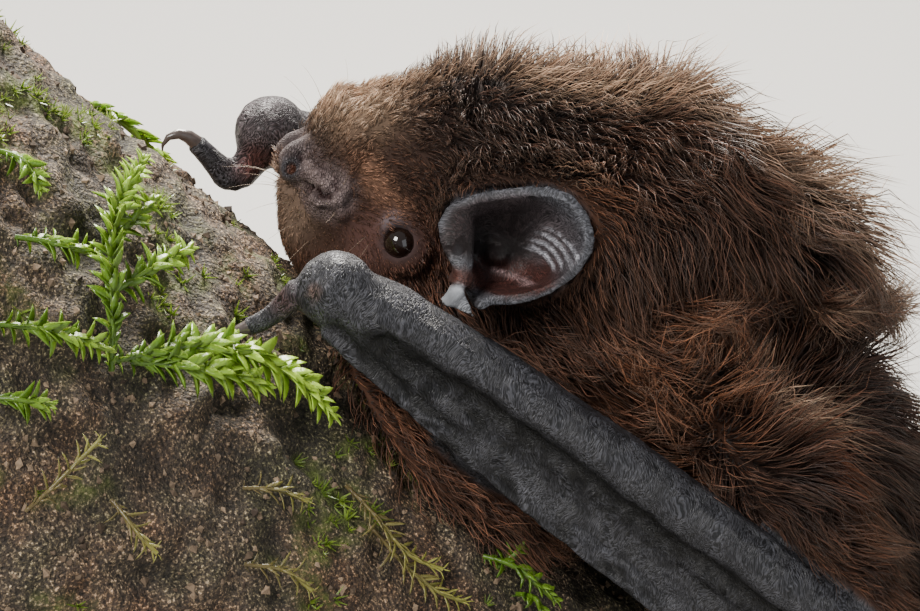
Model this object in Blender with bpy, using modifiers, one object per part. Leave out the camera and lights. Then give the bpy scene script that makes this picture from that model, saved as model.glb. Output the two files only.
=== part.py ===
"""A life-size long-tailed bat clinging to a sloping length of branch on a museum stand.

The bat and its perch are built level, in the bat's own frame: the head points to -X, the bat's left
is -Y, and the top line of the branch is Z = 0. The last step tilts them on the stand. Solids of the
furred parts reach to the tips of the coat.
"""

import math

import bmesh
import bpy
from mathutils import Matrix, Vector, noise

MM = 0.001
GAP = 0.3 * MM
SHEET = 0.6 * MM

# The perch and its stand
BRANCH_RADIUS = 25 * MM
BRANCH_FROM = -33 * MM
BRANCH_TO = 76 * MM
BARK_RELIEF = 0.9 * MM
SLOPE = math.radians(45)
ROD_RADIUS = 2.5 * MM
ROD_DEPTH = 6 * MM
BASE_LENGTH = 121 * MM
BASE_WIDTH = 66 * MM
BASE_THICKNESS = 6 * MM
PERCH_ORIGIN = Vector((2.5, 0, 103)) * MM
ROD_AT = {"front": -26 * MM, "rear": 17 * MM}
ROD_SEAT = 0.02 * MM
SOCKET_ROOM = 0.15 * MM

# The coat's outer form in millimetres: centre, radii, and whether it is a left and right pair
HEAD_LUMPS = {
    "muzzle": ((-9.2, 0, 4.9), (3.2, 2.8, 2.2), False),
    "nostril": ((-11.8, -1.1, 4.9), (0.9, 0.8, 0.8), True),
    "gland": ((-9.3, -2.3, 5.2), (2.2, 1.5, 1.8), True),
    "face": ((-7.2, 0, 5.8), (4.2, 3.8, 3.4), False),
    "cheek": ((-3.6, -3.0, 4.4), (4.4, 3.1, 3.7), True),
    "forehead": ((-8.8, 0, 9.6), (4.1, 3.4, 4.1), False),
    "crown": ((-3.8, 0, 12.0), (7.4, 6.7, 7.4), False),
}
BODY_LUMPS = {
    "throat": ((-0.5, 0, 4.5), (7.0, 6.2, 5.0), False),
    "nape": ((-0.5, 0, 13.6), (6.5, 7.6, 7.8), False),
    "ruff": ((4.2, 0, 13.4), (8.6, 9.9, 11.4), False),
    "shoulders": ((12.8, 0, 15.4), (9.6, 7.4, 10.9), False),
    "chest": ((3.5, -5.7, 0.3), (9.2, 6.3, 5.3), True),
    "barrel": ((20.5, 0, 9.6), (13.0, 10.6, 9.8), False),
    "belly": ((20.0, 0, 7.5), (17.0, 9.8, 8.5), False),
    "rump": ((29.0, 0, 8.6), (12.0, 9.0, 8.8), False),
}
JAW = ((-8.0, 0, 2.1), (3.9, 2.5, 1.6), 27)
HEAD_END = 1.8 * MM
NECK_END = 8.0 * MM
TRUNK_END = 27.0 * MM
PARTING_LEAN = 0.30

EYE_CENTRE = (-6.0, -4.25, 6.3)
EYE_RADIUS = 0.95

# The left ear: its middle, and its three directions across the head's side, up, and out of the cup
EAR_MIDDLE = Vector((-2.75, -8.1, 11.0))
EAR_BACK = Vector((0.696, -0.174, 0.696))
EAR_UP = Vector((-0.582, 0.432, 0.689))
EAR_OUT = Vector((-0.420, -0.885, 0.200))
EAR_RIM = {
    "lobe": (-2.5, -1.4, 0.3),
    "front": (-3.7, 0.8, 0.1),
    "front_top": (-2.8, 2.1, 0.1),
    "top": (0.5, 2.75, 0.2),
    "tip": (2.8, 2.4, 0.3),
    "back": (3.75, 0.5, 0.4),
    "back_low": (2.8, -1.2, 0.5),
    "bottom": (1.1, -2.6, 0.5),
    "notch": (-1.6, -2.9, 0.0),
    "mouth": (-2.35, -2.3, -0.7),
}
EAR_CANAL = (-1.4, -1.2, -3.4)
TRAGUS = ((-2.6, -1.9, -1.5, 0.55), (-2.75, -2.6, -0.6, 0.5), (-2.6, -3.3, 0.3, 0.38))

# Joints and bones of each side in millimetres; the last number of four is the radius
ARMS = {
    "left": {
        "side": -1,
        "wrist": (-9.5, -10.7, 3.6),
        "thumb": (
            (-11.0, -10.6, 2.2, 0.75),
            (-10.9, -10.4, 0.9, 0.62),
            (-11.1, -10.3, -0.3, 0.55),
            (-11.4, -10.3, -1.0, 0.48),
        ),
        "claw": (
            (-11.55, -10.35, -1.35, 0.34),
            (-11.85, -10.5, -1.6, 0.26),
            (-12.0, -10.75, -1.95, 0.17),
            (-11.8, -10.9, -2.2, 0.10),
        ),
    },
    "right": {
        "side": 1,
        "wrist": (-10.3, 9.8, 3.3),
        "thumb": (
            (-10.2, 9.3, 1.8, 0.80),
            (-10.0, 9.1, 0.5, 0.80),
            (-10.4, 9.0, -0.3, 0.72),
            (-11.6, 9.0, -0.1, 0.62),
            (-13.3, 9.0, 0.2, 0.58),
        ),
        "claw": (
            (-13.75, 8.95, 0.15, 0.45),
            (-14.5, 8.9, -0.05, 0.38),
            (-14.9, 8.8, -0.8, 0.22),
            (-14.6, 8.7, -1.35, 0.10),
        ),
    },
}
WRIST_RADII = (2.15, 1.95, 2.1)
SHOULDER = (8.5, 8.0, 13.2)
ELBOW = (33.0, 13.3, 7.9)
FOREARM_PATH = ((-2.3, 11.9, 5.3, 1.75), (5.0, 12.4, 6.1, 1.80), (13.0, 12.7, 6.8, 1.80), (25.0, 13.0, 7.5, 1.85))
METACARPALS = (
    ((-8.3, 11.3, 1.9, 0.65), (5.0, 12.2, 1.9, 0.70), (18.0, 12.4, 2.2, 0.80), (28.5, 12.6, 2.8, 0.95)),
    ((-7.8, 11.1, 2.5, 0.60), (5.0, 11.8, 2.7, 0.65), (18.0, 12.1, 3.2, 0.75), (27.5, 12.4, 3.8, 0.85)),
    ((-7.0, 10.9, 3.0, 0.50), (5.0, 11.3, 3.4, 0.55), (18.0, 11.7, 4.1, 0.60), (26.5, 12.2, 4.7, 0.65)),
)
HIP = (30.0, 5.5, 8.8)
KNEE = (36.8, 13.2, 6.5)
ANKLE = (50.3, 8.8, 0.7)
TOES = ((56.9, 11.9), (57.7, 10.5), (58.1, 9.1), (57.8, 7.7), (56.9, 6.3))
TAIL = ((40.5, 0, 3.6, 1.2), (48.0, 0, 2.3, 0.9), (58.0, 0, 1.5, 0.7), (71.0, 0, 1.1, 0.4))

# The pieces of each wing that press into the coat
ARM_NEIGHBOURS = ("upper_arm", "forearm", "folded_fingers", "folded_membrane")

COLOURS = {
    "coat": ((0.10, 0.055, 0.035), 0.85),
    "bare_skin": ((0.045, 0.040, 0.042), 0.55),
    "eye": ((0.012, 0.009, 0.008), 0.05),
    "claw": ((0.10, 0.08, 0.07), 0.30),
    "bark": ((0.12, 0.10, 0.075), 0.95),
    "stand_wood": ((0.16, 0.085, 0.045), 0.40),
    "stand_metal": ((0.45, 0.44, 0.42), 0.35),
}


def clear_scene():
    for obj in list(bpy.data.objects):
        bpy.data.objects.remove(obj, do_unlink=True)


def new_collection(name, helper=False):
    collection = bpy.data.collections.new(name)
    bpy.context.scene.collection.children.link(collection)
    collection.hide_render = helper
    return collection


def material(slot):
    found = bpy.data.materials.get(slot)
    if found:
        return found
    colour, roughness = COLOURS[slot]
    made = bpy.data.materials.new(slot)
    made.use_nodes = True
    shader = made.node_tree.nodes["Principled BSDF"]
    shader.inputs["Base Color"].default_value = (*colour, 1)
    shader.inputs["Roughness"].default_value = roughness
    shader.inputs["Metallic"].default_value = 1.0 if slot == "stand_metal" else 0.0
    return made


def add_object(name, mesh, slot):
    obj = bpy.data.objects.new(name, mesh)
    MODEL.objects.link(obj)
    mesh.materials.clear()
    mesh.materials.append(material(slot))
    mesh.shade_smooth()
    mesh.set_sharp_from_angle(angle=math.radians(40))
    return obj


def mesh_from(bm, name):
    mesh = bpy.data.meshes.new(name)
    bm.to_mesh(mesh)
    bm.free()
    return mesh


def plain_mesh(obj):
    """The object's mesh with its modifiers applied, and the object removed."""
    bpy.context.view_layer.update()
    graph = bpy.context.evaluated_depsgraph_get()
    mesh = bpy.data.meshes.new_from_object(obj.evaluated_get(graph))
    bpy.data.objects.remove(obj, do_unlink=True)
    return mesh


def with_modifiers(mesh, *settings):
    """The mesh after these modifiers, each given as (type, {setting: value})."""
    obj = bpy.data.objects.new("worked", mesh)
    MODEL.objects.link(obj)
    for kind, values in settings:
        modifier = obj.modifiers.new(kind.lower(), kind)
        for key, value in values.items():
            setattr(modifier, key, value)
    return plain_mesh(obj)


def ellipsoid(centre, radii, pitch=0.0, segments=24):
    """A closed ellipsoid, sizes in millimetres, pitched about the crosswise axis."""
    bm = bmesh.new()
    bmesh.ops.create_uvsphere(bm, u_segments=segments, v_segments=segments * 2 // 3, radius=1)
    turn = Matrix.Rotation(math.radians(pitch), 4, "Y")
    place = Matrix.Translation(Vector(centre) * MM)
    bm.transform(place @ turn @ Matrix.Diagonal((*(Vector(radii) * MM), 1)))
    return mesh_from(bm, "lump")


def smooth_path(points, steps):
    """Evenly spaced points on a smooth curve through the given ones, with any further numbers they carry."""
    ends = [points[0], *points, points[-1]]
    spans = len(points) - 1
    path = []
    for i in range(steps + 1):
        at = i / steps * spans
        k = min(int(at), spans - 1)
        t = at - k
        weights = (
            -0.5 * t**3 + t**2 - 0.5 * t,
            1.5 * t**3 - 2.5 * t**2 + 1,
            -1.5 * t**3 + 2 * t**2 + 0.5 * t,
            0.5 * t**3 - 0.5 * t**2,
        )
        four = ends[k : k + 4]
        path.append([sum(w * p[axis] for w, p in zip(weights, four)) for axis in range(len(points[0]))])
    return path


def limb(points, steps=8, resolution=2):
    """A closed tube with domed ends along a smooth curve, each point an (x, y, z, radius) in millimetres."""
    path = smooth_path(points, steps)
    first, second, before_last, last = (Vector(path[i][:3]) for i in (0, 1, -2, -1))
    dome_a = first + (first - second).normalized() * path[0][3] * 0.6
    dome_b = last + (last - before_last).normalized() * path[-1][3] * 0.6
    path = [(*dome_a, path[0][3] * 0.5), *path, (*dome_b, path[-1][3] * 0.5)]
    curve = bpy.data.curves.new("limb", "CURVE")
    curve.dimensions = "3D"
    curve.bevel_depth = MM
    curve.bevel_resolution = resolution
    curve.use_fill_caps = True
    spline = curve.splines.new("POLY")
    spline.points.add(len(path) - 1)
    for point, (x, y, z, radius) in zip(spline.points, path):
        point.co = (x * MM, y * MM, z * MM, 1)
        point.radius = radius
    obj = bpy.data.objects.new("limb", curve)
    MODEL.objects.link(obj)
    bm = bmesh.new()
    bm.from_mesh(plain_mesh(obj))
    bmesh.ops.remove_doubles(bm, verts=bm.verts, dist=0.001 * MM)
    bmesh.ops.recalc_face_normals(bm, faces=bm.faces)
    return mesh_from(bm, "limb")


def together(meshes):
    """Several meshes as the loose shells of one."""
    bm = bmesh.new()
    for mesh in meshes:
        bm.from_mesh(mesh)
    return mesh_from(bm, "together")


def fused(meshes, voxel, rounds, keep):
    """Overlapping shells grown into one skin, smoothed, and thinned to a share of its faces."""
    return with_modifiers(
        together(meshes),
        ("REMESH", {"mode": "VOXEL", "voxel_size": voxel * MM}),
        ("SMOOTH", {"factor": 0.5, "iterations": rounds}),
        ("DECIMATE", {"ratio": keep}),
    )


def sheet(edge_a, edge_b, pleats=0, depth=0.0, along=12, across=6):
    """A thin closed membrane from one edge to another, pleated parallel to them."""
    bm = bmesh.new()
    rows = []
    for i, (start, end) in enumerate(zip(smooth_path(edge_a, along), smooth_path(edge_b, along))):
        fade = math.sin(math.pi * i / along)
        row = []
        for j in range(across + 1):
            t = j / across
            fold = Vector((0, depth * fade * math.sin(2 * math.pi * pleats * t), 0))
            row.append(bm.verts.new((Vector(start).lerp(Vector(end), t) + fold) * MM))
        rows.append(row)
    for i in range(along):
        for j in range(across):
            bm.faces.new((rows[i][j], rows[i][j + 1], rows[i + 1][j + 1], rows[i + 1][j]))
    mesh = mesh_from(bm, "sheet")
    return with_modifiers(mesh, ("SOLIDIFY", {"thickness": SHEET, "offset": 0, "use_rim": True}))


def bark_height(y):
    """Height of the branch's surface at a crosswise distance from its top line, in millimetres."""
    radius = BRANCH_RADIUS / MM
    return math.sqrt(radius**2 - y**2) - radius


def sided(points, side):
    """The points of a right-hand piece carried to a side: -1 is the left."""
    return [(p[0], p[1] * side, *p[2:]) for p in points]


def pair(name, mesh, slot):
    """The left piece and its mirror image on the right, both facing out."""
    other = mesh.copy()
    other.transform(Matrix.Scale(-1, 4, (0, 1, 0)))
    other.flip_normals()
    return [add_object(f"{name}_left", mesh, slot), add_object(f"{name}_right", other, slot)]


def helper(name, mesh):
    obj = bpy.data.objects.new(name, mesh)
    HELPERS.objects.link(obj)
    obj.hide_render = True
    obj.display_type = "WIRE"
    return obj


def grown(obj, by=GAP, filled=False):
    """A cutter: the object a little larger all round, or the closed hull round it."""
    mesh = obj.data.copy()
    if filled:
        bm = bmesh.new()
        for vertex in obj.data.vertices:
            bm.verts.new(vertex.co)
        bmesh.ops.convex_hull(bm, input=bm.verts)
        bmesh.ops.delete(bm, geom=[v for v in bm.verts if not v.link_faces], context="VERTS")
        mesh = mesh_from(bm, "hull")
    cutter = helper(f"cut_{obj.name}", mesh)
    swell = cutter.modifiers.new("swell", "DISPLACE")
    swell.strength = by
    swell.mid_level = 0
    return cutter


def cut(obj, *cutters, operation="DIFFERENCE"):
    for cutter in cutters:
        boolean = obj.modifiers.new(cutter.name, "BOOLEAN")
        boolean.operation = operation
        boolean.object = cutter


def slab(name, x_from, x_to):
    """A cutter that keeps one length of the body: a leaning box between two cross planes."""
    bm = bmesh.new()
    bmesh.ops.create_cube(bm, size=1)
    bm.transform(Matrix.Diagonal((x_to - x_from, 60 * MM, 80 * MM, 1)))
    bm.transform(Matrix.Shear("XY", 4, (PARTING_LEAN, 0)))
    bm.transform(Matrix.Translation(((x_from + x_to) / 2, 0, 10 * MM)))
    return helper(name, mesh_from(bm, name))


def coat_form():
    """Head, neck, trunk and hindquarters as one form, out to the tips of the fur."""
    shells = []
    for centre, radii, paired in (*HEAD_LUMPS.values(), *BODY_LUMPS.values()):
        shells.append(ellipsoid(centre, radii))
        if paired:
            shells.append(ellipsoid((centre[0], -centre[1], centre[2]), radii))
    return fused(shells, voxel=0.55, rounds=4, keep=0.022)


def build_body():
    """The coat form, parted by thin cuts where the head, neck, trunk and hindquarters meet."""
    whole = coat_form()
    spans = {
        "head": (-20 * MM, HEAD_END),
        "neck": (HEAD_END + GAP, NECK_END),
        "trunk": (NECK_END + GAP, TRUNK_END),
        "hindquarters": (TRUNK_END + GAP, 60 * MM),
    }
    parts = {}
    for name, (x_from, x_to) in spans.items():
        parts[name] = add_object(name, whole.copy(), "coat")
        cut(parts[name], slab(f"keep_{name}", x_from, x_to), operation="INTERSECT")
    return parts


def ear_place(across, up, out):
    return EAR_MIDDLE + EAR_BACK * across + EAR_UP * up + EAR_OUT * out


def build_ears():
    """Each ear is a cupped shell between its rim and its canal."""
    turns, depths = 22, 3
    rim_points = list(EAR_RIM.values())
    rim = smooth_path([*rim_points[-2:], *rim_points, *rim_points[:2]], (len(rim_points) + 3) * 4)
    rim = rim[8 : 8 + len(rim_points) * 4]
    rim = [rim[int(i * len(rim) / turns)] for i in range(turns)]
    bm = bmesh.new()
    rows = []
    for across, up, out in rim:
        row = []
        for j in range(depths):
            t = j / depths
            narrow, sink = 1 - t**1.5, math.sin(t * math.pi / 2) ** 0.9
            place = ear_place(
                EAR_CANAL[0] + (across - EAR_CANAL[0]) * narrow,
                EAR_CANAL[1] + (up - EAR_CANAL[1]) * narrow,
                out + (EAR_CANAL[2] - out) * sink,
            )
            row.append(bm.verts.new(place * MM))
        rows.append(row)
    bottom = bm.verts.new(ear_place(*EAR_CANAL) * MM)
    for row, after in zip(rows, [*rows[1:], rows[0]]):
        for j in range(depths - 1):
            bm.faces.new((row[j], after[j], after[j + 1], row[j + 1]))
        bm.faces.new((row[-1], after[-1], bottom))
    bmesh.ops.recalc_face_normals(bm, faces=bm.faces)
    shell = with_modifiers(mesh_from(bm, "ear"), ("SOLIDIFY", {"thickness": SHEET, "offset": 1, "use_rim": True}))
    ears = pair("ear", shell, "bare_skin")
    lobe = [(*ear_place(*p[:3]), p[3]) for p in TRAGUS]
    tragi = pair("tragus", limb(lobe, steps=3), "bare_skin")
    for ear, tragus in zip(ears, tragi):
        cut(ear, grown(tragus))
    return ears, tragi


def build_face():
    """Jaw, eyes and ears, and the hollows they sit in."""
    jaw = add_object("lower_jaw", ellipsoid(*JAW, segments=12), "coat")
    eyes = pair("eye", ellipsoid(EYE_CENTRE, [EYE_RADIUS] * 3, segments=11), "eye")
    ears, tragi = build_ears()
    return jaw, eyes, ears, tragi


def build_arm(side_name):
    """One folded wing: upper arm, forearm, wrist, thumb, closed fingers and their membranes."""
    arm = ARMS[side_name]
    side = arm["side"]
    wrist = Vector(arm["wrist"])
    elbow = Vector((ELBOW[0], ELBOW[1] * side, ELBOW[2]))
    shoulder = Vector((SHOULDER[0], SHOULDER[1] * side, SHOULDER[2]))
    parts = {}

    def add(name, mesh, slot):
        parts[name] = add_object(f"{name}_{side_name}", mesh, slot)

    upper = [(*shoulder.lerp(elbow, t), r) for t, r in ((0, 2.4), (0.25, 3.0), (0.5, 2.8), (0.75, 2.3), (0.93, 1.8))]
    add("upper_arm", limb(upper, steps=5, resolution=3), "coat")
    forearm = [(*wrist.lerp(Vector(sided(FOREARM_PATH, side)[0][:3]), 0.42), 1.7), *sided(FOREARM_PATH, side)]
    forearm.append((*elbow, 1.8))
    add("forearm", limb(forearm, steps=8, resolution=3), "bare_skin")
    add("wrist", ellipsoid(wrist, WRIST_RADII, segments=12), "bare_skin")
    add("thumb", limb(arm["thumb"], steps=5), "bare_skin")
    add("thumb_claw", limb(arm["claw"], steps=4, resolution=1), "claw")
    bones = [limb(sided(bone, side), steps=9) for bone in METACARPALS]
    add("folded_fingers", fused(bones, voxel=0.28, rounds=3, keep=0.042), "bare_skin")
    inner_top = [(-5.5, 9.9, 4.3), (5.0, 10.0, 4.9), (18.0, 10.3, 5.4), (30.0, 10.7, 5.4)]
    inner_low = [(-6.5, 9.9, 1.9), (5.0, 10.2, 1.3), (18.0, 10.4, 1.4), (30.0, 10.7, 2.4)]
    add("folded_membrane", sheet(sided(inner_top, side), sided(inner_low, side), along=8, across=2), "bare_skin")
    side_out = [(34.6, 13.4, 5.4), (40.0, 13.6, 3.2), (49.0, 11.4, 0.2)]
    side_in = [(34.6, 10.4, 4.6), (40.0, 10.6, 2.2), (48.0, 10.2, 0.1)]
    add("side_membrane", sheet(sided(side_out, side), sided(side_in, side), 0.5, 0.5, along=5, across=2), "bare_skin")
    cut(parts["upper_arm"], grown(parts["forearm"]))
    cut(parts["forearm"], grown(parts["wrist"]))
    cut(parts["folded_fingers"], grown(parts["wrist"]), grown(parts["forearm"]))
    cut(parts["folded_membrane"], grown(parts["forearm"]), grown(parts["folded_fingers"]))
    cut(parts["thumb"], grown(parts["wrist"]))
    cut(parts["thumb_claw"], grown(parts["thumb"]))
    return parts


def build_legs():
    """Thigh in fur, bare shin, and a foot with five hooked toes, as left and right pieces."""
    thigh = [(*HIP, 2.8), (33.5, 9.8, 8.0, 2.6), (*KNEE, 1.8)]
    shin = [(37.6, 13.0, 6.0, 1.0), (43.5, 11.2, 3.4, 0.85), (*ANKLE, 0.75)]
    pad = [(51.2, 8.9, 0.35, 0.75), (52.6, 9.0, 0.0, 0.95), (54.2, 9.1, -0.3, 1.0)]
    toes = []
    for x, y in TOES:
        root = (53.6, 9.1 + (y - 9.1) * 0.45, -0.2, 0.42)
        toe = [root, (56.2, y, -0.15, 0.38), (x, y, bark_height(y) + 0.62, 0.28)]
        toes.append(limb(sided(toe, -1), steps=5))
    foot = fused([limb(sided(pad, -1), steps=5), *toes], voxel=0.16, rounds=2, keep=0.034)
    return {
        "thigh": pair("thigh", limb(sided(thigh, -1), steps=5, resolution=3), "coat"),
        "shin": pair("shin", limb(sided(shin, -1), steps=5), "bare_skin"),
        "foot": pair("foot", foot, "bare_skin"),
    }


def build_tail():
    """The long tail and the membrane that joins it to the feet."""
    tail = add_object("tail", limb(TAIL, steps=6), "bare_skin")
    inner = [(37.0, -0.6, 1.4), (42.0, -1.9, 2.7), (49.0, -1.6, 2.0), (58.0, -1.35, 1.35), (69.0, -1.1, 1.05)]
    outer = [(37.0, -10.8, 2.0), (43.0, -10.0, 2.6), (50.0, -7.6, 0.7), (57.0, -5.3, 0.55), (69.0, -1.9, 0.8)]
    return tail, pair("tail_membrane", sheet(inner, outer, along=8, across=2), "bare_skin")


def build_perch():
    """A cut length of branch with furrowed bark, highest along its smooth top line."""
    length = BRANCH_TO - BRANCH_FROM
    rings = 8
    bm = bmesh.new()
    bmesh.ops.create_cone(
        bm, segments=26, radius1=BRANCH_RADIUS, radius2=BRANCH_RADIUS, depth=length, cap_ends=True
    )
    turn = Matrix.Rotation(math.pi / 2, 4, "Y")
    bm.transform(Matrix.Translation(((BRANCH_FROM + BRANCH_TO) / 2, 0, 0)) @ turn)
    for k in range(1, rings):
        place = Vector((BRANCH_FROM + length * k / rings, 0, 0))
        bmesh.ops.bisect_plane(bm, geom=[*bm.verts, *bm.edges, *bm.faces], plane_co=place, plane_no=(1, 0, 0))
    for vertex in bm.verts:
        x, y, z = vertex.co
        across = Vector((0, y, z)) / BRANCH_RADIUS
        bark = noise.noise(Vector((x / (14 * MM), 2.2 * across.y, 2.2 * across.z)))
        away = 0.5 - 0.5 * across.z
        vertex.co -= across * BARK_RELIEF * (0.25 + away) * (0.5 + bark)
        vertex.co.z -= BRANCH_RADIUS
    return add_object("perch_log", mesh_from(bm, "perch_log"), "bark")


def bark_cutter():
    """A plain cylinder just clear of the bark, for the coat that rests on it."""
    bm = bmesh.new()
    radius = BRANCH_RADIUS + GAP
    bmesh.ops.create_cone(bm, segments=72, radius1=radius, radius2=radius, depth=0.2, cap_ends=True)
    bm.transform(Matrix.Translation((0, 0, -BRANCH_RADIUS)) @ Matrix.Rotation(math.pi / 2, 4, "Y"))
    return helper("cut_bark", mesh_from(bm, "cut_bark"))


def round_bar(radius, bottom, top, x):
    """An upright bar between two heights."""
    bm = bmesh.new()
    bmesh.ops.create_cone(bm, segments=16, radius1=radius, radius2=radius, depth=top - bottom, cap_ends=True)
    bm.transform(Matrix.Translation((x, 0, (top + bottom) / 2)))
    return mesh_from(bm, "round_bar")


def build_stand(perch):
    """A flat base with softened edges and two upright rods let into the branch's underside."""
    bm = bmesh.new()
    bmesh.ops.create_cube(bm, size=1)
    bm.transform(Matrix.Diagonal((BASE_LENGTH, BASE_WIDTH, BASE_THICKNESS, 1)))
    bm.transform(Matrix.Translation((0, 0, BASE_THICKNESS / 2)))
    base = add_object("stand_base", mesh_from(bm, "stand_base"), "stand_wood")
    edge = base.modifiers.new("edge", "BEVEL")
    edge.width = 1.2 * MM
    for place, x in ROD_AT.items():
        under = underside_height(x)
        rod = round_bar(ROD_RADIUS, BASE_THICKNESS + ROD_SEAT, under + ROD_DEPTH, x)
        add_object(f"stand_rod_{place}", rod, "stand_metal")
        socket = helper(f"socket_{place}", round_bar(ROD_RADIUS + SOCKET_ROOM, 0, under + ROD_DEPTH + SOCKET_ROOM, x))
        cut(perch, socket)


def underside_height(x):
    """Height of the tilted branch's underside above a place on the base."""
    along = (x - PERCH_ORIGIN.x + 2 * BRANCH_RADIUS * math.sin(SLOPE)) / math.cos(SLOPE)
    return PERCH_ORIGIN.z - along * math.sin(SLOPE) - 2 * BRANCH_RADIUS * math.cos(SLOPE)


def pose_on_stand(level):
    """Tilts the bat and its perch to the branch's slope, above the base."""
    tilt = bpy.data.objects.new("perch_tilt", None)
    MODEL.objects.link(tilt)
    tilt.location = PERCH_ORIGIN
    tilt.rotation_euler = (0, SLOPE, 0)
    for obj in level:
        obj.parent = tilt


def main():
    body = build_body()
    jaw, eyes, ears, tragi = build_face()
    arms = [build_arm(name) for name in ARMS]
    legs = build_legs()
    tail, tail_membranes = build_tail()
    bark = bark_cutter()

    cut(jaw, bark)
    head_cuts = [grown(jaw), *[grown(eye, 0.15 * MM) for eye in eyes], *[grown(ear, GAP, True) for ear in ears]]
    cut(body["head"], *head_cuts)
    ear_cuts = head_cuts[-2:]
    arm_cuts = [grown(arm[name]) for arm in arms for name in ARM_NEIGHBOURS]
    for part in body.values():
        cut(part, *arm_cuts, bark)
    cut(body["neck"], *ear_cuts)
    for k, arm in enumerate(arms):
        arm_end = [grown(arm[name]) for name in ("upper_arm", "forearm", "folded_fingers", "folded_membrane")]
        cut(legs["thigh"][k], *arm_end)
        cut(legs["shin"][k], grown(legs["thigh"][k]))
        cut(legs["foot"][k], grown(legs["shin"][k]))
        limb_cuts = [grown(legs[name][k]) for name in ("thigh", "shin", "foot")]
        cut(arm["side_membrane"], *arm_end, *limb_cuts)
        cut(tail_membranes[k], *limb_cuts, grown(arm["side_membrane"]))
    leg_cuts = [grown(thigh) for thigh in legs["thigh"]]
    side_cuts = [grown(arm["side_membrane"]) for arm in arms]
    tail_cuts = [grown(part) for part in (tail, *tail_membranes)]
    cut(body["hindquarters"], *leg_cuts, *side_cuts, *tail_cuts)

    perch = build_perch()
    level = [obj for obj in (*MODEL.objects, *HELPERS.objects)]
    build_stand(perch)
    pose_on_stand(level)


clear_scene()
MODEL = new_collection("clinging_bat")
HELPERS = new_collection("helpers", helper=True)
main()
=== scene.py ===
import math

import bmesh
import bpy
import numpy as np
from bpy.props import FloatProperty, FloatVectorProperty, IntProperty, PointerProperty
from mathutils import Matrix, Vector
from mathutils.bvhtree import BVHTree


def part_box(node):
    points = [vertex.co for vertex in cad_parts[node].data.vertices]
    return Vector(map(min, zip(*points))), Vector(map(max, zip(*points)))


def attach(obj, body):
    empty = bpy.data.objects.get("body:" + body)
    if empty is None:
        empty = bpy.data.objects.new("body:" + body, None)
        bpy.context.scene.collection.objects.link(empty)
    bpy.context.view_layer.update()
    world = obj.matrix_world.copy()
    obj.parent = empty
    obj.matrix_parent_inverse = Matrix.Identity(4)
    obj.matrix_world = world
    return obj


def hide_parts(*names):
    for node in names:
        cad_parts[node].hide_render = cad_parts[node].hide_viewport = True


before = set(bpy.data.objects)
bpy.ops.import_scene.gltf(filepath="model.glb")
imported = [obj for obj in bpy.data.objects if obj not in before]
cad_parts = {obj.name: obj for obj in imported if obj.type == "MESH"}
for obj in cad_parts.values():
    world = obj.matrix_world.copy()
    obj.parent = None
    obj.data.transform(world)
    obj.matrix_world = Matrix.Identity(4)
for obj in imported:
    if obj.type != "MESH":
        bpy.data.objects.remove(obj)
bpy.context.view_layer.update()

bl_info = {
    "name": "Life-size bat on a branch",
    "version": (1, 0, 0),
    "blender": (4, 5, 0),
    "location": "3D View > Sidebar > Bat",
    "description": "Builds the skin, coat, eyes, branch, moss and stand of a museum bat round its CAD frame",
    "category": "Add Mesh",
}

MM = 0.001
FAR = 1e3  # a distance past anything in the scene, in millimetres

# The branch's own frame, in millimetres: +X down the branch to the tail, -Y the bat's left, +Z out of
# the bark. TURN and SEAT carry it to the row frame.
SLOPE = math.radians(45)
TURN = np.array(Matrix.Rotation(SLOPE, 3, "Y"))
SEAT = np.array((2.5, 0.0, 103.0))

FURRED_TRUNK = ("head", "lower_jaw", "neck", "trunk", "hindquarters")
FURRED_LIMBS = ("upper_arm_left", "upper_arm_right", "thigh_left", "thigh_right")
FURRED = FURRED_TRUNK + FURRED_LIMBS
BARE_PAIRS = ("ear", "tragus", "folded_fingers", "folded_membrane", "side_membrane", "tail_membrane",
              "forearm", "wrist", "thumb", "shin", "foot")
BARE = ("tail", *(f"{name}_{side}" for name in BARE_PAIRS for side in ("left", "right")))

# Places and directions on the bat's left side, in the branch's frame. The right side mirrors them.
NOSE = np.array((-11.0, 0.0, 5.0))
EYE_CENTRE = np.array((-6.0, -4.25, 6.3))
EYE_OUT = np.array((-0.47, -0.87, 0.12))
EYE_RADIUS = 0.95
NOSTRIL = np.array((-12.42, -1.40, 4.92))
NOSTRIL_OUT = np.array((-0.69, -0.70, 0.18))
GLAND = (-10.5, -2.5, 5.5)  # middle of the swollen, bare side of the muzzle
EAR_MIDDLE = np.array((-2.75, -8.1, 11.0))
EAR_BACK = np.array((0.696, -0.174, 0.696))
EAR_UP = np.array((-0.582, 0.432, 0.689))
EAR_OUT = np.array((-0.420, -0.885, 0.200))
HOLLOW = (12.8, -8.0, 17.0)  # the dip in the coat behind the shoulder
BRANCH_RADIUS = 25.0
TOE_ENDS = ((56.9, 11.9), (57.7, 10.5), (58.1, 9.1), (57.8, 7.7), (56.9, 6.3))


# ---------------------------------------------------------------- sizes and colours that a user may change

def colour(name, description, default):
    """A colour property, in linear light."""
    return FloatVectorProperty(name=name, description=description, default=default, size=3, min=0, max=1,
                               subtype="COLOR")


def length(name, description, default):
    """A length property, in metres."""
    return FloatProperty(name=name, description=description, default=default, min=0, unit="LENGTH",
                         subtype="DISTANCE", precision=5)


def power(name, description, default):
    """A lamp's power property, in watts."""
    return FloatProperty(name=name, description=description, default=default, min=0, unit="POWER")


def count(name, description, default, least=0):
    """A whole number property."""
    return IntProperty(name=name, description=description, default=default, min=least)


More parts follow.
